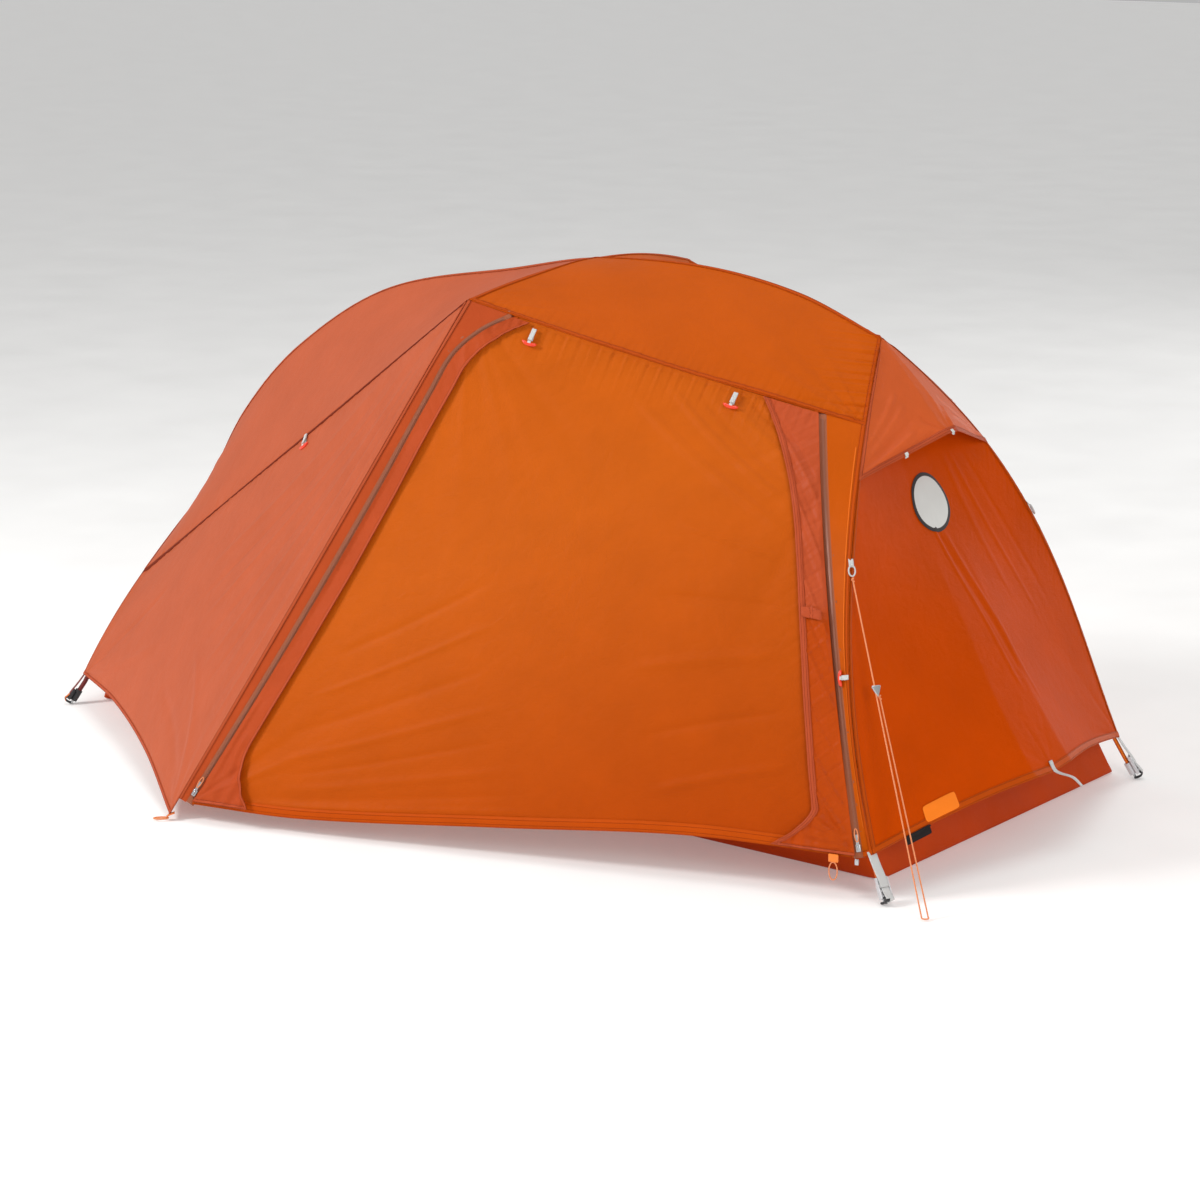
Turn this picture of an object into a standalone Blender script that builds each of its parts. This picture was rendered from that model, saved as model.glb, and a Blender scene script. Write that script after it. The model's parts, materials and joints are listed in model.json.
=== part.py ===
"""One-person tent: a hubbed pole frame, a rain fly with a vestibule, and an inner tent.

Lengths are metres. +X points to the head end, -Y to the vestibule door and +Z up. The origin is
on the ground, under the middle of the floor.
"""
import math

import bmesh
import bpy
from mathutils import Matrix, Vector

# Fabric and seams
FABRIC = 0.0015          # thickness of every fabric panel
SEAM_GAP = 0.002         # a panel stops this far short of its seam line
ZIP_GAP = 0.0095         # a panel stops this far short of a zip's middle line
INSIDE = Vector((0.0, 0.0, 0.35))

# Frame poles
POLE_RADIUS = 0.0044
POLE_INSET = 0.016       # from the fly's seam line to the pole's centre line
POLE_GAP = 0.0012        # between two pole sections, or a pole and its socket
TIP_RADIUS = 0.003
TIP_LENGTH = 0.030
HUB_REACH = 0.027
HUB_BOSS_RADIUS = 0.012
SOCKET_RADIUS = 0.0063

# Landmarks of the fly, on its outer surface
HEAD_TOP = Vector((0.807, 0.0, 1.008))
FOOT_TOP = Vector((-1.085, 0.0, 0.475))
RIDGE = [FOOT_TOP, Vector((-0.96, 0, 0.673)), Vector((-0.781, 0, 0.847)), Vector((-0.504, 0, 1.004)),
         Vector((-0.129, 0, 1.081)), Vector((0.077, 0, 1.117)), Vector((0.354, 0, 1.123)),
         Vector((0.606, 0, 1.084)), HEAD_TOP]
BROW_KNOT = 5            # the ridge point where the brow pole crosses
BROW_END = Vector((0.0446, -0.4048, 1.0694))
HEAD_LEG = [HEAD_TOP, Vector((0.9957, -0.4629, 0.6573)), Vector((1.0131, -0.4807, 0.3137)),
            Vector((1.160, -0.530, 0.0))]
FOOT_LEG = [FOOT_TOP, Vector((-1.110, -0.2487, 0.2777)), Vector((-1.1286, -0.3373, 0.177)),
            Vector((-1.1726, -0.4051, 0.0))]
DOOR_SEAM_AT = 0.143     # where each seam meets its leg, as a share of the leg's curve
HOOD_END_AT = 0.235
WALL_TOP_AT = 0.245
GUY_AT = 0.376
HEAD_CORNER_AT = 0.905
FOOT_SEAM_AT = 0.343
FOOT_CORNER_AT = 0.86
STAKE = Vector((-0.340, -0.943, 0.012))
HOOD_APEX = Vector((0.985, 0.0, 0.835))
WALL_CREASE = [Vector((1.257, 0, 0.166)), Vector((1.136, 0, 0.33)), Vector((1.067, 0, 0.449)),
               Vector((0.953, 0, 0.627)), Vector((0.888, 0, 0.765)), Vector((0.848, 0, 0.865))]
FOOT_CREASE = [Vector((-1.205, 0, 0.115)), Vector((-1.150, 0, 0.285)), Vector((-1.098, 0, 0.455))]
BACK_PULL_OUT = Vector((0.0, 0.590, 0.050))

# Zips: both are arcs, and the left one curls over at its top
LEFT_ZIP_ARC = [Vector((-0.308, -0.920, 0.036)), Vector((-0.169, -0.739, 0.383)),
                Vector((0.010, -0.482, 0.893))]
LEFT_ZIP_CURL = [Vector((0.036, -0.447, 0.962)), Vector((0.085, -0.412, 1.012))]
STRIP_FOOT_AT = 0.032    # share of the vestibule's ridge where the strip beside the left zip starts
LEFT_ZIP_TOP_AT = 0.115  # shares of the door's top seam
RIGHT_ZIP_TOP_AT = 0.895
RIGHT_ZIP_BOTTOM = Vector((1.100, -0.529, 0.082))
RIGHT_ZIP_MIDDLE = Vector((0.962, -0.415, 0.490))
ZIP_TAPE = 0.0110
ZIP_CHAIN = 0.0052       # width of the closed chain, a rib on the tape
SLIDER = Vector((0.009, 0.016, 0.005))
SLIDER_TAB = Vector((0.005, 0.026, 0.0016))
SLIDER_AT = 0.022        # share of the zip at which its slider rests

# Toggles, buckles and straps
TOGGLE_STRAP = Vector((0.009, 0.026, 0.0016))
SIDE_STRAP_LENGTH = 0.015  # the toggle beside the zip stays clear of its slider
TOGGLE_BAR_LENGTH = 0.022
TOGGLE_BAR_RADIUS = 0.0026
TOGGLE_CLEAR = 0.0042    # from the fly's surface to the toggle
BUCKLE = Vector((0.018, 0.022, 0.030))
BUCKLE_OUT = 0.004       # how far a buckle's middle stands out from its pole
BUCKLE_FOOT = 0.010      # from the ground to a buckle's lower edge, along the pole
BORE_CLEAR = 0.0010      # round a pole in its buckle
BORE_REACH = 0.03        # how far a cutter runs past what it cuts
TIP_STAND = 0.0022       # from the ground to a pole tip's lower edge
CORNER_STRAP = Vector((0.0012, 0.014, 0))
STRAP_OUT = 0.0075       # how far a corner strap stands out from the buckle's middle
STRAP_GAPS = (0.007, 0.0005)
LOOP_WEBBING = 0.0016
GUY_RING = (0.022, 0.013)
STAKE_CORD = 0.0018
STAKE_RING = (0.030, 0.013)
PULL_STRAP = Vector((0.012, 0.052, 0.0014))
VENT_PROP = Vector((0.014, 0, 0.0024))
SWIVEL = Vector((0.034, 0.028, 0.026))
BROW_DROP = 0.013        # how far the brow pole passes below the spine
TENSIONER = Vector((0.020, 0.022, 0.007))

# Guy line
GUY_GROUND = Vector((1.268, -0.563, 0.004))
CORD_RADIUS = 0.0015
CORD_LOOP = 0.007        # radius of the turn round the stake
TENSIONER_AT = 0.34      # share of the line above the tensioner

# Inner tent
INNER_INSET = 0.055      # from the fly's seam lines to the inner tent
TUB_TOP = 0.130
TUB_GAP = 0.001
FLOOR_HEAD = (Vector((1.080, -0.415, 0)), Vector((1.100, 0.545, 0)))
FLOOR_FOOT = (Vector((-1.150, -0.325, 0)), Vector((-1.150, 0.350, 0)))
DOORWAY_CENTRE = (0.53, 0.40)
DOORWAY_HALF = (0.235, 0.31)
DOORWAY_SQUARENESS = 2.8
DOOR_CLEARANCE = 0.004

COLOURS = {
    "fly_amber": ((0.67, 0.13, 0.010), 0.55, 0.0),
    "fly_coral": ((0.60, 0.14, 0.070), 0.55, 0.0),
    "floor_red": ((0.42, 0.035, 0.005), 0.6, 0.0),
    "inner_cream": ((0.78, 0.72, 0.62), 0.7, 0.0),
    "pole_orange": ((0.80, 0.20, 0.02), 0.3, 0.9),
    "alloy_grey": ((0.60, 0.61, 0.62), 0.35, 0.9),
    "hub_black": ((0.03, 0.03, 0.03), 0.45, 0.0),
    "webbing_silver": ((0.72, 0.72, 0.70), 0.6, 0.0),
    "zip_brown": ((0.10, 0.045, 0.03), 0.6, 0.0),
    "toggle_red": ((0.85, 0.06, 0.02), 0.4, 0.0),
    "cord_orange": ((0.95, 0.35, 0.12), 0.6, 0.0),
}


def flip(point):
    """The same point on the other side of the tent's middle plane."""
    return Vector((point.x, -point.y, point.z))


def line(start, end):
    return lambda t: start.lerp(end, t)


def bezier(points):
    a, b, c, d = points
    return lambda t: (a * (1 - t) ** 3 + b * (3 * t * (1 - t) ** 2)
                      + c * (3 * t * t * (1 - t)) + d * t ** 3)


def smooth(points):
    """A curve through all the points, with t as the share of its chord length."""
    knots = [0.0]
    for near, far in zip(points, points[1:]):
        knots.append(knots[-1] + (far - near).length)
    knots = [knot / knots[-1] for knot in knots]
    last = len(points) - 1
    slopes = []
    for i in range(len(points)):
        low, high = max(i - 1, 0), min(i + 1, last)
        slopes.append((points[high] - points[low]) / (knots[high] - knots[low]))

    def curve(t):
        i = 0
        while i < last - 1 and t > knots[i + 1]:
            i += 1
        width = knots[i + 1] - knots[i]
        s = (t - knots[i]) / width
        return (points[i] * (2 * s ** 3 - 3 * s * s + 1) + slopes[i] * (width * (s ** 3 - 2 * s * s + s))
                + points[i + 1] * (3 * s * s - 2 * s ** 3) + slopes[i + 1] * (width * (s ** 3 - s * s)))

    curve.knots = knots
    return curve


def stretch(curve, start, end):
    """The part of a curve between two of its shares, run from start to end."""
    return lambda t: curve(start + (end - start) * t)


def mirrored(curve):
    return lambda t: flip(curve(t))


def arc_through(start, middle, end):
    """Centre, axis and angle of the circle arc from start through middle to end."""
    axis = (middle - start).cross(end - start).normalized()
    first, second = (start + middle) / 2, (middle + end) / 2
    along = axis.cross(middle - start)
    chord = end - middle
    reach = (second - first).dot(chord) / along.dot(chord)
    centre = first + along * reach
    angle = (start - centre).angle(end - centre)
    return centre, axis, angle


def turned(point, centre, axis, angle):
    return centre + Matrix.Rotation(angle, 3, axis) @ (point - centre)


def inward(point):
    """The direction from the fly's surface towards the cabin's middle."""
    aim = Vector((math.copysign(0.45, point.x), 0.0, 0.35))
    if abs(point.x) < 0.45:
        aim.x = point.x
    return (aim - point).normalized()


def inset(curve, distance):
    return lambda t: curve(t) + inward(curve(t)) * distance


def share_at_height(curve, height):
    """The share of a falling curve where it reaches a height."""
    low, high = 0.0, 1.0
    for _ in range(40):
        middle = (low + high) / 2
        if curve(middle).z > height:
            low = middle
        else:
            high = middle
    return low


def share_at_distance(curve, centre, distance, start=0.0, end=1.0):
    """The share of a curve, going from start to end, where it is a distance away from centre."""
    for _ in range(50):
        middle = (start + end) / 2
        if (curve(middle) - centre).length < distance:
            start = middle
        else:
            end = middle
    return start


def between(curve, low_gap, high_gap, share):
    """A share of what is left of a curve after a gap at each of its ends."""
    low = share_at_distance(curve, curve(0), low_gap)
    high = share_at_distance(curve, curve(1), high_gap, 1.0, 0.0)
    return low + (high - low) * share


def coons(bottom, top, left, right):
    """The surface spanned by four curves; bottom and top run with u, left and right with v."""
    a, b, c, d = bottom(0), bottom(1), top(0), top(1)

    def surface(u, v):
        rows = bottom(u) * (1 - v) + top(u) * v
        columns = left(v) * (1 - u) + right(v) * u
        corners = (a * (1 - u) + b * u) * (1 - v) + (c * (1 - u) + d * u) * v
        return rows + columns - corners
    return surface


def side_by_side(near, far):
    """Two surfaces joined along one seam, near for u below a half and far above it."""
    return lambda u, v: near(2 * u, v) if u <= 0.5 else far(2 * u - 1, v)


def normal_at(surface, u, v):
    step = 0.004
    u0, u1 = max(u - step, 0.001), min(u + step, 0.999)
    v0, v1 = max(v - step, 0.001), min(v + step, 0.999)
    middle_u, middle_v = (u0 + u1) / 2, (v0 + v1) / 2
    across = surface(u1, middle_v) - surface(u0, middle_v)
    along = surface(middle_u, v1) - surface(middle_u, v0)
    normal = across.cross(along).normalized()
    return normal if normal.dot(surface(u, v) - INSIDE) > 0 else -normal


def length_of(curve, steps=12):
    return sum((curve((i + 1) / steps) - curve(i / steps)).length for i in range(steps))


def add_material(name):
    colour, roughness, metallic = COLOURS[name]
    made = bpy.data.materials.get(name)
    if made is None:
        made = bpy.data.materials.new(name)
        made.use_nodes = True
        shader = made.node_tree.nodes["Principled BSDF"]
        shader.inputs["Base Color"].default_value = (*colour, 1.0)
        shader.inputs["Roughness"].default_value = roughness
        shader.inputs["Metallic"].default_value = metallic
    return made


def add_mesh(name, points, faces, material, smooth_angle=None):
    """A closed mesh object with its faces turned outwards."""
    mesh = bpy.data.meshes.new(name)
    mesh.from_pydata([tuple(point) for point in points], [], faces)
    solid = bmesh.new()
    solid.from_mesh(mesh)
    bmesh.ops.recalc_face_normals(solid, faces=solid.faces)
    solid.to_mesh(mesh)
    solid.free()
    if smooth_angle:
        mesh.shade_smooth()
        mesh.set_sharp_from_angle(angle=smooth_angle)
    made = bpy.data.objects.new(name, mesh)
    bpy.context.collection.objects.link(made)
    if material:
        mesh.materials.append(add_material(material))
    return made


def sheet_solid(name, outer, inner, material):
    """A thin closed solid from two equal grids of points, outer and inner."""
    rows, columns = len(outer), len(outer[0])
    points = [point for row in outer for point in row] + [point for row in inner for point in row]
    back = rows * columns
    faces = []
    for r in range(rows - 1):
        for c in range(columns - 1):
            a, b = r * columns + c, r * columns + c + 1
            d, e = a + columns, b + columns
            faces.append((a, b, e, d))
            faces.append((back + a, back + d, back + e, back + b))
    rim = [c for c in range(columns)]
    rim += [r * columns + columns - 1 for r in range(1, rows)]
    rim += [(rows - 1) * columns + c for c in range(columns - 2, -1, -1)]
    rim += [r * columns for r in range(rows - 2, 0, -1)]
    for near, far in zip(rim, rim[1:] + rim[:1]):
        faces.append((near, back + near, back + far, far))
    return add_mesh(name, points, faces, material, math.radians(40))


def add_panel(name, surface, columns, rows, material, gaps=(SEAM_GAP,) * 4, lift=0.0,
              thickness=FABRIC):
    """A fabric panel; gaps are left free along its left, right, bottom and top edges."""
    left, right, bottom, top = gaps
    outer, inner = [], []
    for r in range(rows + 1):
        outer_row, inner_row = [], []
        for c in range(columns + 1):
            u = between(lambda t: surface(t, r / rows), left, right, c / columns)
            v = between(lambda t: surface(c / columns, t), bottom, top, r / rows)
            normal = normal_at(surface, u, v)
            outer_row.append(surface(u, v) + normal * lift)
            inner_row.append(surface(u, v) + normal * (lift - thickness))
        outer.append(outer_row)
        inner.append(inner_row)
    return sheet_solid(name, outer, inner, material)


def add_tube(name, points, radius, material, cyclic=False):
    """A round rod or cord along a row of points."""
    data = bpy.data.curves.new(name, "CURVE")
    data.dimensions = "3D"
    data.bevel_depth = radius
    data.bevel_resolution = 2
    data.render_resolution_u = 0
    data.use_fill_caps = True
    spline = data.splines.new("POLY")
    spline.points.add(len(points) - 1)
    for knot, point in zip(spline.points, points):
        knot.co = (*point, 1.0)
    spline.use_cyclic_u = cyclic
    data.materials.append(add_material(material))
    made = bpy.data.objects.new(name, data)
    bpy.context.collection.objects.link(made)
    return made


def cylinder_points(start, end, radius, sides):
    axis = (end - start).normalized()
    across = axis.orthogonal().normalized()
    up = axis.cross(across)
    rings = []
    for centre in (start, end):
        for i in range(sides):
            angle = 2 * math.pi * i / sides
            rings.append(centre + (across * math.cos(angle) + up * math.sin(angle)) * radius)
    faces = [tuple(range(sides)), tuple(range(2 * sides - 1, sides - 1, -1))]
    for i in range(sides):
        j = (i + 1) % sides
        faces.append((i, sides + i, sides + j, j))
    return rings, faces


def add_cylinder(name, start, end, radius, material=None, sides=12):
    points, faces = cylinder_points(start, end, radius, sides)
    return add_mesh(name, points, faces, material, math.radians(50))


def add_box(name, centre, axes, size, material=None):
    """A box about centre, with its edges along three directions."""
    points = []
    for i in (-0.5, 0.5):
        for j in (-0.5, 0.5):
            for k in (-0.5, 0.5):
                points.append(centre + axes[0] * (i * size[0]) + axes[1] * (j * size[1])
                              + axes[2] * (k * size[2]))
    faces = [(0, 1, 3, 2), (4, 6, 7, 5), (0, 4, 5, 1), (2, 3, 7, 6), (0, 2, 6, 4), (1, 5, 7, 3)]
    return add_mesh(name, points, faces, material)


def combine(made, tool, operation):
    """Join a helper solid to an object, or cut it away."""
    tool.hide_render = True
    tool.display_type = "WIRE"
    step = made.modifiers.new(operation.lower(), "BOOLEAN")
    step.operation = operation
    step.solver = "EXACT"
    step.object = tool


def add_pivot(name, place, children):
    """An empty on a joint's axis, which carries the pieces that move on it."""
    pivot = bpy.data.objects.new(name, None)
    pivot.location = place
    bpy.context.collection.objects.link(pivot)
    for child in children:
        child.parent = pivot
        child.matrix_parent_inverse = Matrix.Translation(-place)
    return pivot


# The fly's seam lines; a name with back is the mirror of the front one

ridge = smooth(RIDGE)
brow_share = ridge.knots[BROW_KNOT]
brow_top = RIDGE[BROW_KNOT]
head_leg = bezier(HEAD_LEG)
foot_leg = bezier(FOOT_LEG)
seam_foot_end = foot_leg(FOOT_SEAM_AT)
seam_head_end = head_leg(DOOR_SEAM_AT)
head_corner = head_leg(HEAD_CORNER_AT)
foot_corner = foot_leg(FOOT_CORNER_AT)


def brow(t):
    """From the ridge to the brow pole's front end; it arches, so its fall grows with t."""
    bent = brow_top.lerp(BROW_END, t * t)
    return Vector((bent.x, BROW_END.y * t, bent.z))


def door_seam(t):
    """The door's top seam, from the brow pole's end to the head leg, with a little sag."""
    straight = BROW_END.lerp(seam_head_end, t)
    return straight + Vector((0, -0.012, -0.024)) * (t * (1 - t))


RIGHT_ZIP_ARC = [RIGHT_ZIP_BOTTOM, RIGHT_ZIP_MIDDLE, door_seam(RIGHT_ZIP_TOP_AT)]


def right_zip(t):
    centre, axis, angle = arc_through(*RIGHT_ZIP_ARC)
    return turned(RIGHT_ZIP_ARC[0], centre, axis, angle * t)


def leg_beside_zip(t):
    """The head leg from its corner up to the door's seam, taken level with the right zip."""
    low, high = head_corner.z - right_zip(0).z, seam_head_end.z - right_zip(1).z
    return head_leg(share_at_height(head_leg, right_zip(t).z + low + (high - low) * t))


def left_zip_points():
    centre, axis, angle = arc_through(*LEFT_ZIP_ARC)
    steps = 4
    points = [turned(LEFT_ZIP_ARC[0], centre, axis, angle * i / steps) for i in range(steps + 1)]
    return points + LEFT_ZIP_CURL + [door_seam(LEFT_ZIP_TOP_AT)]


left_zip = smooth(left_zip_points())
foot_hem = smooth([foot_corner, Vector((-0.903, -0.530, 0.076)), Vector((-0.616, -0.729, 0.056)), STAKE])
door_hem = smooth([left_zip(0), Vector((-0.051, -0.859, 0.034)), Vector((0.376, -0.734, 0.062)),
                   Vector((0.763, -0.621, 0.089)), right_zip(0)])


def add_roofs():
    """The four roof panels, between the ridge, the brow pole, the legs and the side seams."""
    foot_front = coons(line(seam_foot_end, BROW_END), stretch(ridge, 0, brow_share),
                       stretch(foot_leg, FOOT_SEAM_AT, 0), stretch(brow, 1, 0))
    head_front = coons(door_seam, stretch(ridge, brow_share, 1), stretch(brow, 1, 0),
                       stretch(head_leg, DOOR_SEAM_AT, 0))
    add_panel("foot_roof_front", foot_front, 9, 6, "fly_coral")
    add_panel("foot_roof_back", lambda u, v: flip(foot_front(u, v)), 9, 6, "fly_coral")
    add_panel("head_roof_front", head_front, 7, 6, "fly_amber")
    add_panel("head_roof_back", lambda u, v: flip(head_front(u, v)), 7, 6, "fly_amber")


def vestibule_surfaces():
    """The foot panel, the strip beside the left zip, the door, and the strip beside the right zip."""
    foot_panel = coons(foot_hem, line(seam_foot_end, BROW_END),
                       stretch(foot_leg, FOOT_CORNER_AT, FOOT_SEAM_AT), line(STAKE, BROW_END))
    left_seam = stretch(line(STAKE, BROW_END), STRIP_FOOT_AT, 1)
    left_strip = coons(line(left_seam(0), left_zip(0)), stretch(door_seam, 0, LEFT_ZIP_TOP_AT),
                       left_seam, left_zip)
    door = coons(door_hem, stretch(door_seam, LEFT_ZIP_TOP_AT, RIGHT_ZIP_TOP_AT), left_zip, right_zip)
    right_strip = coons(line(right_zip(0), head_corner), stretch(door_seam, RIGHT_ZIP_TOP_AT, 1),
                        right_zip, leg_beside_zip)
    return foot_panel, left_strip, door, right_strip


def add_vestibule():
    """The vestibule's fixed panels and its door, which hangs from its top seam."""
    foot_panel, left_strip, door, right_strip = vestibule_surfaces()
    add_panel("vestibule_foot_panel", foot_panel, 8, 7, "fly_coral")
    add_panel("zip_strip_left", left_strip, 2, 22, "fly_coral", (SEAM_GAP, ZIP_GAP, SEAM_GAP, SEAM_GAP))
    add_panel("zip_strip_right", right_strip, 2, 16, "fly_amber", (ZIP_GAP, 2 * SEAM_GAP, SEAM_GAP, SEAM_GAP))
    panel = add_panel("vestibule_door", door, 10, 12, "fly_amber", (ZIP_GAP, ZIP_GAP, SEAM_GAP, SEAM_GAP))
    lift = FABRIC + 0.0008
    left_flap = add_panel("storm_flap_left", lambda u, v: door(u * left_flap_width(v), v), 2, 14,
                          "fly_coral", (ZIP_GAP, 0, 0.004, 0.004), lift)
    right_flap = add_panel("storm_flap_right", lambda u, v: door(1 - (1 - u) * right_flap_width(v), v),
                           2, 12, "fly_coral", (0, ZIP_GAP, 0.004, 0.004), lift)
    toggles = [add_toggle("toggle_door_left", 0.199), add_toggle("toggle_door_right", 0.690)]
    pieces = [panel, left_flap, right_flap] + [toggle.parent for toggle in toggles]
    add_pivot("door_pivot", BROW_END.copy(), pieces)


def left_flap_width(v):
    """The left flap's width as a share of the door's; it spreads at the hem."""
    return 0.055 + 0.045 * max(0.0, 1 - v / 0.1) ** 2 + 0.02 * v ** 6


def right_flap_width(v):
    return 0.062 + 0.085 * max(0.0, 1 - v / 0.12) ** 2 + 0.12 * v ** 8


def add_toggle(name, place):
    """A webbing tab with a cross bar, hanging from the door's top seam."""
    along = (door_seam(place + 0.01) - door_seam(place - 0.01)).normalized()
    surface = vestibule_surfaces()[2]
    share = (place - LEFT_ZIP_TOP_AT) / (RIGHT_ZIP_TOP_AT - LEFT_ZIP_TOP_AT)
    return toggle_on(name, surface, share, 0.98, along, (0, -1))


def toggle_on(name, surface, u, v, along, way, length=TOGGLE_STRAP.y):
    """A toggle standing just clear of a surface; way is the u, v step in which it hangs."""
    top = surface(u, v)
    down = surface(u + way[0] * 0.02, v + way[1] * 0.02) - top
    down = (down - along * down.dot(along)).normalized()
    out = normal_at(surface, u, v)
    start = top + out * TOGGLE_CLEAR
    strap = add_box(name, start + down * (length / 2), (along, down, out),
                    (TOGGLE_STRAP.x, length, TOGGLE_STRAP.z), "toggle_red")
    end = start + down * length
    half = along * (TOGGLE_BAR_LENGTH / 2)
    bar = add_cylinder(name + "_bar", end - half, end + half, TOGGLE_BAR_RADIUS, None, 8)
    combine(strap, bar, "UNION")
    add_pivot(name + "_pivot", start, [strap])
    bar.parent = strap.parent
    bar.matrix_parent_inverse = Matrix.Translation(-start)
    return strap


def add_fixed_toggles():
    """One toggle on the foot-side seam, and one on the head leg beside the right zip."""
    foot_panel, _, _, right_strip = vestibule_surfaces()
    seam = (BROW_END - seam_foot_end).normalized()
    toggle_on("toggle_foot_seam", foot_panel, 0.545, 0.985, seam, (0, -1))
    leg = (right_strip(0.98, 0.43) - right_strip(0.98, 0.36)).normalized()
    toggle_on("toggle_side_zip", right_strip, 0.985, 0.395, leg, (-1, 0), SIDE_STRAP_LENGTH)


def add_zip(name, curve, start, end, strip, edge):
    """A zip's tape between two fabric edges, with the closed chain as a rib along its middle."""
    steps = 18
    half_tape, half_chain = ZIP_TAPE / 2, ZIP_CHAIN / 2
    outline = [(-half_tape, -0.0030), (half_tape, -0.0030), (half_tape, -0.0021),
               (half_chain, -0.0021), (half_chain, 0.0004), (-half_chain, 0.0004),
               (-half_chain, -0.0021), (-half_tape, -0.0021)]
    points, faces = [], []
    for i in range(steps + 1):
        t = start + (end - start) * i / steps
        along = (curve(min(t + 0.01, 1)) - curve(max(t - 0.01, 0))).normalized()
        out = normal_at(strip, edge, t)
        across = along.cross(out).normalized()
        out = across.cross(along)
        for x, z in outline:
            points.append(curve(t) + across * x + out * z)
    count = len(outline)
    for i in range(steps):
        for j in range(count):
            k = (j + 1) % count
            faces.append((i * count + j, i * count + k, (i + 1) * count + k, (i + 1) * count + j))
    faces.append(tuple(range(count)))
    faces.append(tuple(range(steps * count + count - 1, steps * count - 1, -1)))
    add_mesh(name, points, faces, "zip_brown")


def add_slider(name, curve, strip, edge, pivot):
    """A zip slider with its pull tab, standing on the bottom end of its chain."""
    along = (curve(SLIDER_AT + 0.01) - curve(SLIDER_AT - 0.01)).normalized()
    out = normal_at(strip, edge, SLIDER_AT)
    across = along.cross(out).normalized()
    out = across.cross(along)
    base = curve(SLIDER_AT) + out * (SLIDER.z / 2 + 0.0020)
    made = add_box(name, base, (across, along, out), SLIDER, "alloy_grey")
    tab = add_box(name + "_tab", base + along * 0.017 + out * 0.001, (across, along, out), SLIDER_TAB)
    combine(made, tab, "UNION")
    add_pivot(name + "_pivot", pivot, [made, tab])


def add_zips():
    _, left_strip, _, right_strip = vestibule_surfaces()
    add_zip("zip_left", left_zip, 0.006, 0.985, left_strip, 0.97)
    add_zip("zip_right", right_zip, 0.006, 0.985, right_strip, 0.03)
    add_slider("zip_slider_left", left_zip, left_strip, 0.97, arc_through(*LEFT_ZIP_ARC)[0])
    add_slider("zip_slider_right", right_zip, right_strip, 0.03, arc_through(*RIGHT_ZIP_ARC)[0])


def add_walls():
    """The fly's head, foot and back walls, which are straight between their seams and creases."""
    wall_leg = stretch(head_leg, HEAD_CORNER_AT, WALL_TOP_AT)
    crease = smooth(WALL_CREASE)
    head_wall = side_by_side(lambda u, v: wall_leg(v).lerp(crease(v), u),
                             lambda u, v: crease(v).lerp(flip(wall_leg(v)), u))
    add_panel("head_wall", head_wall, 8, 7, "fly_amber", (SEAM_GAP, SEAM_GAP, 0, 0))

    foot_side = stretch(foot_leg, FOOT_CORNER_AT, 0.04)
    foot_crease = smooth(FOOT_CREASE)
    foot_wall = side_by_side(lambda u, v: foot_side(v).lerp(foot_crease(v), u),
                             lambda u, v: foot_crease(v).lerp(flip(foot_side(v)), u))
    add_panel("foot_wall", foot_wall, 6, 6, "fly_coral", (SEAM_GAP, SEAM_GAP, 0, SEAM_GAP))

    brow_back = flip(BROW_END)
    hem_near = smooth([flip(foot_corner), Vector((-0.56, 0.508, 0.058)), BACK_PULL_OUT])
    hem_far = smooth([BACK_PULL_OUT, Vector((0.56, 0.570, 0.068)), flip(head_corner)])
    near = coons(hem_near, line(flip(seam_foot_end), brow_back),
                 mirrored(stretch(foot_leg, FOOT_CORNER_AT, FOOT_SEAM_AT)), line(BACK_PULL_OUT, brow_back))
    far = coons(hem_far, mirrored(door_seam), line(BACK_PULL_OUT, brow_back),
                mirrored(stretch(head_leg, HEAD_CORNER_AT, DOOR_SEAM_AT)))
    add_panel("back_wall", side_by_side(near, far), 12, 8, "fly_amber", (SEAM_GAP, SEAM_GAP, 0, SEAM_GAP))


def add_vent():
    """The hood over the head vent, and the prop that holds its lip out."""
    side = stretch(head_leg, HOOD_END_AT, 0.02)
    crease = line(HOOD_APEX, HEAD_TOP)
    hood = side_by_side(lambda u, v: side(v).lerp(crease(v), u),
                        lambda u, v: crease(v).lerp(flip(side(v)), u))
    add_panel("vent_hood", hood, 6, 4, "fly_coral", (SEAM_GAP, SEAM_GAP, 0, 0.012))
    foot = WALL_CREASE[-1] + Vector((0.022, 0, -0.028))
    tip = HOOD_APEX + Vector((-0.022, 0, -0.008))
    along = (tip - foot).normalized()
    across = Vector((0, 1, 0))
    strut = add_box("vent_prop", (foot + tip) / 2, (across, along, across.cross(along)),
                    (VENT_PROP.x, (tip - foot).length, VENT_PROP.z), "hub_black")
    add_pivot("vent_prop_pivot", foot, [strut])


def pole_curve(leg):
    """A pole's centre line under its seam, running straight to its tip at the end."""
    def curve(t):
        fade = 1.0 if t < 0.9 else (1 - t) / 0.1
        return leg(t) + inward(leg(t)) * (POLE_INSET * fade)
    return curve


def add_pole(name, curve, start, end, steps=10):
    points = [curve(start + (end - start) * i / steps) for i in range(steps + 1)]
    add_tube(name, points, POLE_RADIUS, "pole_orange")


def gap_share(curve):
    return POLE_GAP / length_of(curve)


def add_hub(name, centre, up, directions):
    """A flat boss with one socket for each pole."""
    hub = add_cylinder(name, centre - up * 0.0065, centre + up * 0.0065, HUB_BOSS_RADIUS, "hub_black", 14)
    for i, direction in enumerate(directions):
        socket = add_cylinder(f"{name}_socket_{i}", centre + direction * 0.002,
                              centre + direction * HUB_REACH, SOCKET_RADIUS, None, 10)
        combine(hub, socket, "UNION")


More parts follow.
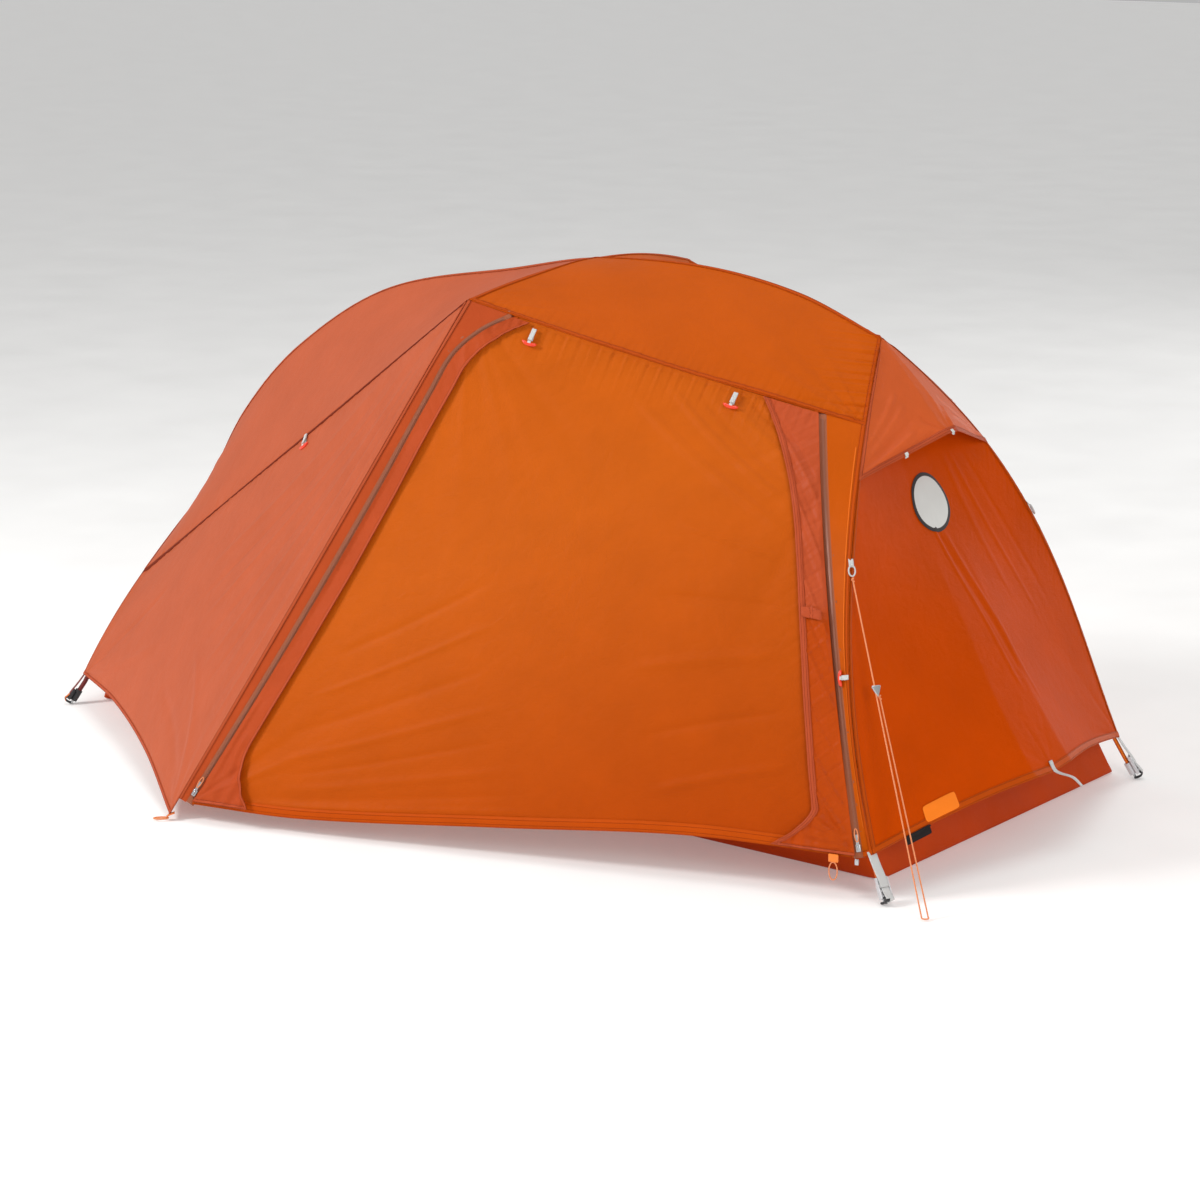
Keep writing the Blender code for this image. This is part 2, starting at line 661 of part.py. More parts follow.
def add_poles():
    """The spine in three sections, four legs, the brow pole, and the hubs that join them."""
    spine = pole_curve_spine()
    front_leg, front_foot = pole_curve(head_leg), pole_curve(foot_leg)
    head_centre, foot_centre = spine(1), spine(0)
    start = share_at_distance(spine, foot_centre, HUB_REACH + POLE_GAP)
    end = share_at_distance(spine, head_centre, HUB_REACH + POLE_GAP, 1.0, 0.0)
    gap = gap_share(spine)
    cuts = [start, start + (end - start) * 0.36, start + (end - start) * 0.68, end]
    for i, name in enumerate(("spine_pole_foot", "spine_pole_middle", "spine_pole_head")):
        add_pole(name, spine, cuts[i] + (gap if i else 0), cuts[i + 1], 9)

    head_start = share_at_distance(front_leg, head_centre, HUB_REACH + POLE_GAP)
    foot_start = share_at_distance(front_foot, foot_centre, HUB_REACH + POLE_GAP)
    for side, mirror in (("front", lambda curve: curve), ("back", mirrored)):
        leg, foot = mirror(front_leg), mirror(front_foot)
        tip_at = share_at_distance(leg, leg(1), TIP_LENGTH, 1.0, 0.0)
        add_pole("head_leg_upper_" + side, leg, head_start, 0.47, 9)
        add_pole("head_leg_lower_" + side, leg, 0.47 + gap_share(leg), tip_at, 9)
        add_corner("head_" + side, leg, tip_at, mirror(head_leg)(HEAD_CORNER_AT))
        tip_at = share_at_distance(foot, foot(1), TIP_LENGTH, 1.0, 0.0)
        add_pole("foot_leg_" + side, foot, foot_start, tip_at, 9)
        add_corner("foot_" + side, foot, tip_at, mirror(foot_leg)(FOOT_CORNER_AT))

    add_hub("head_hub", head_centre, -inward(HEAD_TOP), hub_directions(head_centre, spine, 0.97, front_leg))
    add_hub("foot_hub", foot_centre, -inward(FOOT_TOP), hub_directions(foot_centre, spine, 0.03, front_foot))
    add_brow(spine)


def hub_directions(centre, spine, near, leg):
    """From a hub along the spine, and along the front and the back leg."""
    spine_way = (spine(share_at_distance(spine, centre, HUB_REACH, round(near), 0.5)) - centre).normalized()
    leg_way = (leg(share_at_distance(leg, centre, HUB_REACH)) - centre).normalized()
    return [spine_way, leg_way, flip(leg_way)]


def pole_curve_spine():
    return lambda t: ridge(t) + inward(ridge(t)) * POLE_INSET


def add_brow(spine):
    """The brow pole crosses below the spine, in a swivel block bored for both."""
    crossing = spine(brow_share)

    def centre_line(t):
        way = 2 * t - 1
        point = brow(abs(way))
        if way > 0:
            point = flip(point)
        return point + Vector((0, 0, -POLE_INSET - BROW_DROP * (1 - way * way)))

    add_pole("brow_pole", centre_line, 0.01, 0.99, 16)
    middle = Vector((centre_line(0.5).x, 0, (crossing.z + centre_line(0.5).z) / 2))
    spine_way = (spine(brow_share + 0.01) - spine(brow_share - 0.01)).normalized()
    up = Vector((0, 1, 0)).cross(spine_way)
    up = up if up.z > 0 else -up
    block = add_box("brow_swivel", middle, (spine_way, Vector((0, 1, 0)), up), SWIVEL, "hub_black")
    bore = add_cylinder("brow_swivel_spine_bore", crossing - spine_way * 0.03, crossing + spine_way * 0.03,
                        POLE_RADIUS + 0.0012, None, 12)
    cross = add_cylinder("brow_swivel_brow_bore", centre_line(0.45), centre_line(0.55),
                         POLE_RADIUS + 0.0012, None, 12)
    combine(block, bore, "DIFFERENCE")
    combine(block, cross, "DIFFERENCE")


def add_corner(name, leg, tip_at, fly_corner):
    """A pole's metal tip, the buckle it stands in, and the strap from the fly's corner."""
    end = leg(1)
    way = (leg(1) - leg(tip_at)).normalized()
    side = Vector((0, 0, 1)).cross(way).normalized()
    out = way.cross(side).normalized()
    if out.dot(fly_corner - leg(tip_at)) < 0:
        out = -out
    lift = (TIP_STAND + TIP_RADIUS * 0.45) / -way.z
    gap = POLE_GAP / (end - leg(tip_at)).length
    start = leg(tip_at).lerp(end, gap)
    add_cylinder("pole_tip_" + name, start, end - way * lift, TIP_RADIUS, "alloy_grey", 8)
    middle = end - way * (BUCKLE.z / 2 + BUCKLE_FOOT) + out * BUCKLE_OUT
    buckle = add_box("corner_buckle_" + name, middle, (out, side, way), BUCKLE, "hub_black")
    bore = add_cylinder("bore_" + name, end + way * BORE_REACH, leg(tip_at) - way * BORE_REACH,
                        POLE_RADIUS + BORE_CLEAR, None, 12)
    combine(buckle, bore, "DIFFERENCE")
    top = middle - way * (BUCKLE.z / 2 + STRAP_GAPS[1]) + out * STRAP_OUT
    high = fly_corner + (top - fly_corner).normalized() * STRAP_GAPS[0]
    along = (top - high).normalized()
    flat = along.cross(side).normalized()
    add_box("corner_strap_" + name, (top + high) / 2, (flat, side, along),
            (CORNER_STRAP.x, CORNER_STRAP.y, (top - high).length), "webbing_silver")


def add_ring(name, centre, along, across, length, width, radius, material):
    """A long ring of round stock."""
    steps = 16
    points = []
    for i in range(steps):
        angle = 2 * math.pi * i / steps
        points.append(centre + along * (math.cos(angle) * length / 2)
                      + across * (math.sin(angle) * width / 2))
    add_tube(name, points, radius, material, True)


def add_loops():
    """The guy loops on the head legs, the vestibule's stake loop and the head wall's pull strap."""
    for side, sign in (("front", 1), ("back", -1)):
        seam = Vector((head_leg(GUY_AT).x, head_leg(GUY_AT).y * sign, head_leg(GUY_AT).z))
        out = Vector((0.62, -0.70 * sign, 0)).normalized()
        along = (out * 0.5 + Vector((0, 0, -1))).normalized()
        across = Vector((0.70, 0.62 * sign, 0)).normalized()
        add_ring("guy_loop_" + side, seam + out * 0.006 + along * 0.010, along, across, *GUY_RING,
                 LOOP_WEBBING, "webbing_silver")
    away = Vector((-0.75, -0.66, 0)).normalized()
    add_ring("vestibule_stake_loop", STAKE + away * 0.019 + Vector((0, 0, -0.007)), away,
             Vector((-away.y, away.x, 0)), *STAKE_RING, STAKE_CORD, "cord_orange")
    hem = WALL_CREASE[0]
    pull = Vector((0.037, 0, -0.025)).normalized()
    across = Vector((0, 1, 0))
    add_box("head_wall_pull_strap", hem + pull * 0.030, (across, pull, across.cross(pull)),
            PULL_STRAP, "webbing_silver")


def guy_route():
    """From the loop on the front head leg to the stake, round it, and back up to the tensioner."""
    seam = head_leg(GUY_AT)
    out = Vector((0.62, -0.70, 0)).normalized()
    along = (out * 0.5 + Vector((0, 0, -1))).normalized()
    top = seam + out * 0.006 + along * 0.0245
    way = (GUY_GROUND - top).normalized()
    side = way.cross(Vector((0, 0, 1))).normalized()
    down = [top.lerp(GUY_GROUND + side * CORD_LOOP, i / 8) for i in range(9)]
    turn = []
    for i in range(1, 8):
        angle = math.pi * i / 8
        ahead = Vector((way.x, way.y, 0)).normalized()
        turn.append(GUY_GROUND + side * (CORD_LOOP * math.cos(angle))
                    + ahead * (CORD_LOOP * math.sin(angle)))
    stop = top.lerp(GUY_GROUND, TENSIONER_AT) - side * 0.004
    stop = stop + way * 0.0125
    up = [(GUY_GROUND - side * CORD_LOOP).lerp(stop, i / 6) for i in range(7)]
    return top, way, side, down + turn + up


def add_guy_line():
    """The guy line, and the tensioner that slides on its upper strand."""
    top, way, side, route = guy_route()
    add_tube("guy_line", route, CORD_RADIUS, "cord_orange")
    strand = (route[8] - route[0]).normalized()
    middle = top.lerp(route[8], TENSIONER_AT)
    out = strand.cross(side).normalized()
    plate = add_box("line_tensioner", middle - side * 0.003, (side, strand, out), TENSIONER, "alloy_grey")
    bore = add_cylinder("tensioner_bore", middle - strand * 0.02, middle + strand * 0.02,
                        CORD_RADIUS + 0.0008, None, 10)
    combine(plate, bore, "DIFFERENCE")
    add_pivot("tensioner_pivot", middle, [plate, bore])


def inner_curves():
    """The inner tent's edges: its ridge, the front leg lines, and its tub's front corners."""
    top = inset(ridge, INNER_INSET)
    head = inset(head_leg, INNER_INSET)
    foot = inset(foot_leg, INNER_INSET)
    head_end = share_at_height(head, TUB_TOP + TUB_GAP)
    foot_end = share_at_height(foot, TUB_TOP + TUB_GAP)
    return top, stretch(head, head_end, 0), stretch(foot, foot_end, 0)


def inner_side():
    """The front half of the inner tent, from the tub's rim to the ridge."""
    top, head, foot = inner_curves()
    return coons(line(foot(0), head(0)), top, foot, head)


def doorway(u, v, clearance=0.0):
    """Where the ray from the doorway's middle to u, v meets the doorway's edge."""
    x, y = u - DOORWAY_CENTRE[0], v - DOORWAY_CENTRE[1]
    half_x, half_y = DOORWAY_HALF[0] - clearance / 2.1, DOORWAY_HALF[1] - clearance / 1.1
    power = DOORWAY_SQUARENESS
    reach = (abs(x / half_x) ** power + abs(y / half_y) ** power) ** (1 / power)
    return DOORWAY_CENTRE[0] + x / reach, DOORWAY_CENTRE[1] + y / reach


def square_rim(count):
    """Points round the unit square, count to a side, starting at its origin."""
    steps = [i / count for i in range(count)]
    return ([(s, 0) for s in steps] + [(1, s) for s in steps]
            + [(1 - s, 1) for s in steps] + [(0, 1 - s) for s in steps])


def inner_point(surface, u, v, depth):
    """A point of the inner side, kept just short of the neighbouring panels."""
    u, v = 0.0015 + 0.997 * u, 0.0005 + 0.997 * v
    return surface(u, v) - normal_at(surface, u, v) * depth


def add_inner_front():
    """The inner tent's front side with its doorway, and the door that closes it."""
    surface = inner_side()
    rim = square_rim(9)
    count, rings = len(rim), 3
    wall, door = [], []
    for depth in (0.0, FABRIC):
        for ring in range(rings + 1):
            for u, v in rim:
                near = doorway(u, v)
                share = ring / rings
                wall.append(inner_point(surface, near[0] + (u - near[0]) * share,
                                        near[1] + (v - near[1]) * share, depth))
        for ring in range(1, rings + 1):
            for u, v in rim:
                edge = doorway(u, v, DOOR_CLEARANCE)
                share = ring / rings
                door.append(inner_point(surface, DOORWAY_CENTRE[0] + (edge[0] - DOORWAY_CENTRE[0]) * share,
                                        DOORWAY_CENTRE[1] + (edge[1] - DOORWAY_CENTRE[1]) * share, depth))
        door.append(inner_point(surface, *DOORWAY_CENTRE, depth))
    wall_faces, door_faces = [], []
    half = (rings + 1) * count
    side = rings * count + 1
    for i in range(count):
        j = (i + 1) % count
        for ring in range(rings):
            a, b = ring * count + i, ring * count + j
            wall_faces += [(a, b, b + count, a + count),
                           (half + a, half + a + count, half + b + count, half + b)]
            if ring < rings - 1:
                door_faces += [(a, b, b + count, a + count),
                               (side + a, side + a + count, side + b + count, side + b)]
        last = rings * count
        wall_faces += [(i, half + i, half + j, j), (last + i, last + j, half + last + j, half + last + i)]
        edge = (rings - 1) * count
        door_faces += [(i, side - 1, j), (side + i, side + j, 2 * side - 1),
                       (edge + i, edge + j, side + edge + j, side + edge + i)]
    add_mesh("inner_front_wall", wall, wall_faces, "inner_cream", math.radians(40))
    panel = add_mesh("inner_door", door, door_faces, "inner_cream", math.radians(40))
    low = doorway(0, DOORWAY_CENTRE[1], DOOR_CLEARANCE)
    add_pivot("inner_door_pivot", inner_point(surface, low[0], low[1], 0), [panel])


def add_inner_tent():
    """The tub floor and the five inner panels that stand on its rim."""
    add_tub()
    add_inner_front()
    surface = inner_side()
    top, head, foot = inner_curves()
    gaps = (SEAM_GAP, SEAM_GAP, 0, SEAM_GAP)
    add_panel("inner_back_wall", lambda u, v: flip(surface(u, v)), 9, 7, "inner_cream", gaps)
    add_panel("inner_head_wall", lambda u, v: head(v).lerp(flip(head(v)), u), 5, 6, "inner_cream",
              (SEAM_GAP, SEAM_GAP, 0, 0.06))
    add_panel("inner_foot_wall", lambda u, v: foot(v).lerp(flip(foot(v)), u), 4, 4, "inner_cream",
              (SEAM_GAP, SEAM_GAP, 0, 0.06))


def add_tub():
    """The bathtub floor: a flat bottom with walls that lean out to the inner tent's lower edge."""
    _, head, foot = inner_curves()
    rim = [foot(0), head(0), flip(head(0)), flip(foot(0))]
    rim = [Vector((corner.x, corner.y, TUB_TOP)) for corner in rim]
    bottom = [FLOOR_FOOT[0], FLOOR_HEAD[0], FLOOR_HEAD[1], FLOOR_FOOT[1]]

    def shrunk(corners, lift):
        return [Vector((c.x - math.copysign(FABRIC, c.x), c.y - math.copysign(FABRIC, c.y), c.z + lift))
                for c in corners]

    points = bottom + rim + shrunk(rim, 0) + shrunk(bottom, FABRIC)
    faces = [(0, 3, 2, 1), (12, 13, 14, 15)]
    for i in range(4):
        j = (i + 1) % 4
        # Each wall is twisted a little, so it is made of two flat triangles on each side.
        faces += [(i, j, 4 + j), (i, 4 + j, 4 + i), (4 + i, 4 + j, 8 + j, 8 + i),
                  (8 + i, 8 + j, 12 + i), (8 + j, 12 + j, 12 + i)]
    add_mesh("bathtub_floor", points, faces, "floor_red")


def main():
    for old in list(bpy.data.objects):
        bpy.data.objects.remove(old)
    add_roofs()
    add_vestibule()
    add_fixed_toggles()
    add_zips()
    add_walls()
    add_vent()
    add_poles()
    add_loops()
    add_guy_line()
    add_inner_tent()
    bpy.context.view_layer.update()


main()
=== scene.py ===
import json
import math

import bmesh
import bpy
import numpy as np
from mathutils import Matrix, Vector

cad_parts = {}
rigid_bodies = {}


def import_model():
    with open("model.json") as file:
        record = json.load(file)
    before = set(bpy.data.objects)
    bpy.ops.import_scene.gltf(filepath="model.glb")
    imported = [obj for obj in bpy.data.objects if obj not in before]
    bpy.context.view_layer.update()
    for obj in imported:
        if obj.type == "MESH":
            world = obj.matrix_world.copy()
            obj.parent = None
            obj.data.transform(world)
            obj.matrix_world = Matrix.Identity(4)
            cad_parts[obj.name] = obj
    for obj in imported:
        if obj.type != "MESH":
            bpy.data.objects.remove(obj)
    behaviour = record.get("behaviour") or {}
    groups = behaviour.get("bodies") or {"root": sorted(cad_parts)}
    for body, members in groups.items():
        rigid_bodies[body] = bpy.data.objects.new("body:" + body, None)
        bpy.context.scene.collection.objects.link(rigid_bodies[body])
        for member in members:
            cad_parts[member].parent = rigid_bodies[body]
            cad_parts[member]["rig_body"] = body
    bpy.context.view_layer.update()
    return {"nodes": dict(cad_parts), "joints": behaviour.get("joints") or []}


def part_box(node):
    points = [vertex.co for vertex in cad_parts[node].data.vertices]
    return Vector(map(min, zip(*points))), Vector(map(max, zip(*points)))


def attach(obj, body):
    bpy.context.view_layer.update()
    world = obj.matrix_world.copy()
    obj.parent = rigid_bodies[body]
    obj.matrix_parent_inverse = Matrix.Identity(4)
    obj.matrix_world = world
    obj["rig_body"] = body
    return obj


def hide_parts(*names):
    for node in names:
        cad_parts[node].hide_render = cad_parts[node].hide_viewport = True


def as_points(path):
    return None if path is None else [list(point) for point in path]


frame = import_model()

NODES = frame["nodes"]
JOINTS = {joint["name"]: joint for joint in frame["joints"]}

# ---------------------------------------------------------------- landmarks, metres
# The fly's seam lines, repeated from the CAD model; the hinge line comes from the frame.
HEAD_TOP = np.array((0.807, 0.0, 1.008))
FOOT_TOP = np.array((-1.085, 0.0, 0.475))
BROW_TOP = np.array((0.077, 0.0, 1.117))
BROW_END = np.array(JOINTS["vestibule_door_swing"]["pos_m"])
RIDGE = [FOOT_TOP, (-0.96, 0, 0.673), (-0.781, 0, 0.847), (-0.504, 0, 1.004), (-0.129, 0, 1.081),
         BROW_TOP, (0.354, 0, 1.123), (0.606, 0, 1.084), HEAD_TOP]
BROW_KNOT = 5
HEAD_LEG = [HEAD_TOP, (0.9957, -0.4629, 0.6573), (1.0131, -0.4807, 0.3137), (1.160, -0.530, 0.0)]
FOOT_LEG = [FOOT_TOP, (-1.110, -0.2487, 0.2777), (-1.1286, -0.3373, 0.177), (-1.1726, -0.4051, 0.0)]
DOOR_SEAM_AT = 0.143
HOOD_END_AT = 0.235
WALL_TOP_AT = 0.245
GUY_AT = 0.376
HEAD_CORNER_AT = 0.905
FOOT_SEAM_AT = 0.343
FOOT_CORNER_AT = 0.86
STAKE = np.array((-0.340, -0.943, 0.012))
HOOD_APEX = np.array((0.985, 0.0, 0.835))
WALL_CREASE = [(1.257, 0, 0.166), (1.136, 0, 0.33), (1.067, 0, 0.449), (0.953, 0, 0.627), (0.888, 0, 0.765),
               (0.848, 0, 0.865)]
FOOT_CREASE = [(-1.205, 0, 0.115), (-1.150, 0, 0.285), (-1.098, 0, 0.455)]
BACK_PULL_OUT = np.array((0.0, 0.590, 0.050))
LEFT_ZIP_ARC = [(-0.308, -0.920, 0.036), (-0.169, -0.739, 0.383), (0.010, -0.482, 0.893)]
LEFT_ZIP_CURL = [(0.036, -0.447, 0.962), (0.085, -0.412, 1.012)]
STRIP_FOOT_AT = 0.032
LEFT_ZIP_TOP_AT = 0.115
RIGHT_ZIP_TOP_AT = 0.895
RIGHT_ZIP = [(1.100, -0.529, 0.082), (0.962, -0.415, 0.490)]
POLE_INSET = 0.016
POLE_RADIUS = 0.0044
INNER_INSET = 0.055
INSIDE = np.array((0.0, 0.0, 0.35))
CABIN_HALF = 0.45        # the cabin's middle line runs this far to each side of INSIDE
MIRROR = np.array((1.0, -1.0, 1.0))
ZIP_GAP = 0.0085         # from a zip's middle line to the cloth beside it


# ---------------------------------------------------------------- curves and surfaces
# A curve takes an array of shares and gives an array of points; a surface takes two.

def line(a, b):
    a, b = np.asarray(a, float), np.asarray(b, float)
    return lambda t: a + (b - a) * np.asarray(t, float)[..., None]


def bezier(points):
    a, b, c, d = (np.asarray(p, float) for p in points)

    def curve(t):
        t = np.asarray(t, float)[..., None]
        return a * (1 - t) ** 3 + b * 3 * t * (1 - t) ** 2 + c * 3 * t * t * (1 - t) + d * t ** 3
    return curve


def smooth(points):
    """A curve through all the points, with t as the share of its chord length."""
    p = np.array([np.asarray(q, float) for q in points])
    knots = run_along(p)
    knots /= knots[-1]
    low = np.maximum(np.arange(len(p)) - 1, 0)
    high = np.minimum(np.arange(len(p)) + 1, len(p) - 1)
    slopes = (p[high] - p[low]) / (knots[high] - knots[low])[:, None]

    def curve(t):
        t = np.asarray(t, float)
        i = np.clip(np.searchsorted(knots, t, side="left") - 1, 0, len(p) - 2)
        width = knots[i + 1] - knots[i]
        s = ((t - knots[i]) / width)[..., None]
        width = width[..., None]
        return (p[i] * (2 * s ** 3 - 3 * s ** 2 + 1) + slopes[i] * width * (s ** 3 - 2 * s ** 2 + s)
                + p[i + 1] * (3 * s ** 2 - 2 * s ** 3) + slopes[i + 1] * width * (s ** 3 - s ** 2))
    curve.knots = knots
    return curve


def stretch(curve, start, end):
    return lambda t: curve(start + (end - start) * np.asarray(t, float))


def flip(curve):
    return lambda *at: curve(*at) * MIRROR


SIDES = (("front", lambda curve: curve), ("back", flip))


def arc_points(start, middle, end, count):
    """Points along the circle arc from start through middle to end."""
    a, m, b = (Vector(p) for p in (start, middle, end))
    axis = (m - a).cross(b - a).normalized()
    first, second = (a + m) / 2, (m + b) / 2
    along = axis.cross(m - a)
    centre = first + along * ((second - first).dot(b - m) / along.dot(b - m))
    angle = (a - centre).angle(b - centre)
    turn = [Matrix.Rotation(angle * i / (count - 1), 3, axis) for i in range(count)]
    return [np.array(centre + t @ (a - centre)) for t in turn]


def unit(v):
    return v / np.maximum(np.linalg.norm(v, axis=-1, keepdims=True), 1e-12)


def facing(way, toward):
    """The direction, turned over if it points away from the other one."""
    return way if np.dot(way, toward) > 0 else -way


def way_at(curve, share):
    return unit(curve(share + 0.01) - curve(share - 0.01))


def outward(p):
    """The direction from the cabin's middle line to each point."""
    middle = np.zeros_like(p) + INSIDE
    middle[..., 0] = np.clip(p[..., 0], -CABIN_HALF, CABIN_HALF)
    return unit(p - middle)


def inset(curve, distance):
    """The curve moved from the fly's surface towards the cabin's middle line."""
    def moved(t):
        p = curve(t)
        return p - outward(p) * distance
    return moved


def gaps(points):
    """The distances between neighbouring points."""
    return np.linalg.norm(np.diff(points, axis=0), axis=1)


def run_along(points):
    """How far along its row each point is."""
    return np.concatenate([[0.0], np.cumsum(gaps(points))])


def coons(bottom, top, left, right):
    """The surface spanned by four curves; bottom and top run with u, left and right with v."""
    a, b, c, d = bottom(0.0), bottom(1.0), top(0.0), top(1.0)

    def surface(u, v):
        x, y = np.asarray(u, float)[..., None], np.asarray(v, float)[..., None]
        return (bottom(u) * (1 - y) + top(u) * y + left(v) * (1 - x) + right(v) * x
                - (a * (1 - x) + b * x) * (1 - y) - (c * (1 - x) + d * x) * y)
    return surface


def ruled(near, far):
    return lambda u, v: near(v) + (far(v) - near(v)) * np.asarray(u, float)[..., None]


def side_by_side(near, far):
    def surface(u, v):
        twice = 2 * np.asarray(u, float)
        return np.where((twice <= 1)[..., None], near(np.clip(twice, 0, 1), v),
                        far(np.clip(twice - 1, 0, 1), v))
    return surface


def normals_of(surface, u, v, step=0.006):
    u0, u1 = np.clip(u - step, 0.002, 0.998), np.clip(u + step, 0.002, 0.998)
    v0, v1 = np.clip(v - step, 0.002, 0.998), np.clip(v + step, 0.002, 0.998)
    across = surface(u1, (v0 + v1) / 2) - surface(u0, (v0 + v1) / 2)
    along = surface((u0 + u1) / 2, v1) - surface((u0 + u1) / 2, v0)
    n = unit(np.cross(across, along))
    side = np.sign(np.sum(n * (surface(u, v) - INSIDE), axis=-1, keepdims=True))
    return n * np.where(np.median(side) < 0, -1.0, 1.0)


# ---------------------------------------------------------------- cloth shapes
# Each fold is a function of world positions that gives how far the cloth stands out there.

def gentle(x):
    x = np.clip(x, 0, 1)
    return x * x * (3 - 2 * x)


def ripple(phase, seed, sharp=1.6):
    """Uneven ripples between -1 and 1, with crests sharper than hollows."""
    rng = np.random.default_rng(seed)
    total = np.zeros_like(phase)
    for k, weight in ((1.0, 1.0), (1.73, 0.6), (0.47, 0.7), (2.9, 0.3)):
        total += weight * np.sin(k * phase + rng.uniform(0, 6.28))
    total = total / 2.2
    return np.sign(total) * np.abs(total) ** sharp


def fan(corner, toward, folds, height, reach, seed, spread=1.1, start=0.02):
    """Folds that radiate from a pulled corner."""
    corner, toward = np.asarray(corner, float), np.asarray(toward, float)

    def stand(p, n):
        way = p - corner
        far = np.linalg.norm(way, axis=-1)
        main = toward - corner
        middle = unit(main - n * np.sum(n * main, axis=-1, keepdims=True))
        across = np.cross(n, middle)
        angle = np.arctan2(np.sum(way * across, axis=-1), np.sum(way * middle, axis=-1))
        window = np.clip(1 - np.abs(angle) / spread, 0, 1) ** 0.7
        fade = gentle(far / start) * np.exp(-(far / reach) ** 1.5)
        return height * window * ripple(angle * folds, seed) * fade
    return stand


def beside(curve, steps=60):
    """A function that gives each point's distance from a curve, and its place along it."""
    points = curve(np.linspace(0, 1, steps))
    lengths = run_along(points)

    def measure(p):
        flat = p.reshape(-1, 3)
        best, nearest = np.full(len(flat), 9.0), np.zeros(len(flat), int)
        for i in range(steps):
            d = np.linalg.norm(flat - points[i], axis=1)
            near = d < best
            best[near], nearest[near] = d[near], i
        i = np.clip(nearest, 1, steps - 2)
        tangent = unit(points[i + 1] - points[i - 1])
        rest = flat - points[i]
        step = np.sum(rest * tangent, axis=1)
        apart = np.linalg.norm(rest - tangent * step[:, None], axis=1)
        return apart.reshape(p.shape[:-1]), (lengths[i] + step).reshape(p.shape[:-1]), lengths[-1]
    return measure


def pucker(curve, height, pitch, reach, seed, slant=0.0):
    """Small gathers beside a seam."""
    measure = beside(curve)

    def stand(p, n):
        apart, along, _ = measure(p)
        phase = 6.2832 * (along + slant * apart) / pitch
        return height * ripple(phase, seed) * np.exp(-(apart / reach) ** 1.3)
    return stand


def fold(curve, height, width, fade=0.25):
    """One fold that runs along a curve and fades at its ends."""
    measure = beside(curve)

    def stand(p, n):
        apart, along, length = measure(p)
        share = along / length
        return height * gentle(share / fade) * gentle((1 - share) / fade) * np.exp(-(apart / width) ** 2)
    return stand


def folds_on(surface, height, width, ends, fade=0.25, hollow=-0.8):
    """Folds on a surface; each of ends is (u, v, u, v), and every other one has hollow times the height."""
    made = []
    for i, (u0, v0, u1, v1) in enumerate(ends):
        def path(t, u0=u0, v0=v0, u1=u1, v1=v1):
            t = np.asarray(t, float)
            return surface(u0 + (u1 - u0) * t, v0 + (v1 - v0) * t)
        made.append(fold(path, height * (1.0 if i % 2 == 0 else hollow), width * (1 + 0.25 * (i % 3)), fade))
    return made


def swell(height, size, seed):
    """Broad, soft unevenness."""
    rng = np.random.default_rng(seed)
    waves = [(rng.normal(size=3), rng.uniform(0, 6.28)) for _ in range(5)]

    def stand(p, n):
        return height * sum(np.sin(p @ (w / size) * 2.2 + f) for w, f in waves) / 3
    return stand


class Cloth:
    """A surface with its folds; every piece sewn to it reads its place from here."""

    def __init__(self, surface, folds=(), pinned=0.03):
        self.surface, self.folds, self.pinned = surface, folds, pinned

    def at(self, u, v, lift=0.0):
        u, v = np.asarray(u, float), np.asarray(v, float)
        p = self.surface(u, v)
        n = normals_of(self.surface, u, v)
        height = np.zeros(p.shape[:-1])
        for fold in self.folds:
            height = height + fold(p, n)
        edge = np.minimum(np.minimum(u, 1 - u), np.minimum(v, 1 - v))
        return p + n * (height * gentle(0.25 + edge / self.pinned) + lift)[..., None]


# ---------------------------------------------------------------- meshes

def mesh_object(name, points, faces, material, uvs=None, smooth_faces=True):
    mesh = bpy.data.meshes.new(name)
    mesh.from_pydata([tuple(p) for p in np.asarray(points).reshape(-1, 3)], [], faces)
    if uvs is not None:
        layer = mesh.uv_layers.new(name="UVMap")
        corners = np.zeros(len(mesh.loops), int)
        mesh.loops.foreach_get("vertex_index", corners)
        layer.data.foreach_set("uv", np.asarray(uvs, float).reshape(-1, 2)[corners].ravel())
    if smooth_faces:
        mesh.shade_smooth()
    made = bpy.data.objects.new(name, mesh)
    bpy.context.scene.collection.objects.link(made)
    mesh.materials.append(material)
    return made


def round_angles(count):
    return np.linspace(0, 2 * math.pi, count, endpoint=False)


def ring_faces(rings, count, closed=False):
    """Quads between rings of count points each; closed joins the last ring to the first."""
    steps = range(rings if closed else rings - 1)
    return [(r * count + k, r * count + (k + 1) % count, (r + 1) % rings * count + (k + 1) % count,
             (r + 1) % rings * count + k) for r in steps for k in range(count)]


def grid_faces(rows, columns, offset=0, turned=False):
    r, c = np.meshgrid(np.arange(rows - 1), np.arange(columns - 1), indexing="ij")
    a = (r * columns + c).ravel() + offset
    quads = np.stack([a, a + 1, a + columns + 1, a + columns], axis=1)
    return (quads[:, ::-1] if turned else quads).tolist()


def facing_out(grid):
    """True where a grid's faces, taken in their own order, point out of the tent."""
    r, c = grid.shape[0] // 2, grid.shape[1] // 2
    across = grid[r, min(c + 1, grid.shape[1] - 1)] - grid[r, c - 1]
    along = grid[min(r + 1, grid.shape[0] - 1), c] - grid[r - 1, c]
    return np.dot(np.cross(across, along), grid[r, c] - INSIDE) > 0


def metric(grid):
    """Cloth coordinates of a grid, in metres along its rows and columns."""
    across = np.concatenate([np.zeros((grid.shape[0], 1)),
                             np.cumsum(np.linalg.norm(np.diff(grid, axis=1), axis=2), axis=1)], axis=1)
    along = np.concatenate([np.zeros((1, grid.shape[1])),
                            np.cumsum(np.linalg.norm(np.diff(grid, axis=0), axis=2), axis=0)], axis=0)
    across = across - across[:, -1:] / 2
    return np.stack([across, along], axis=-1)


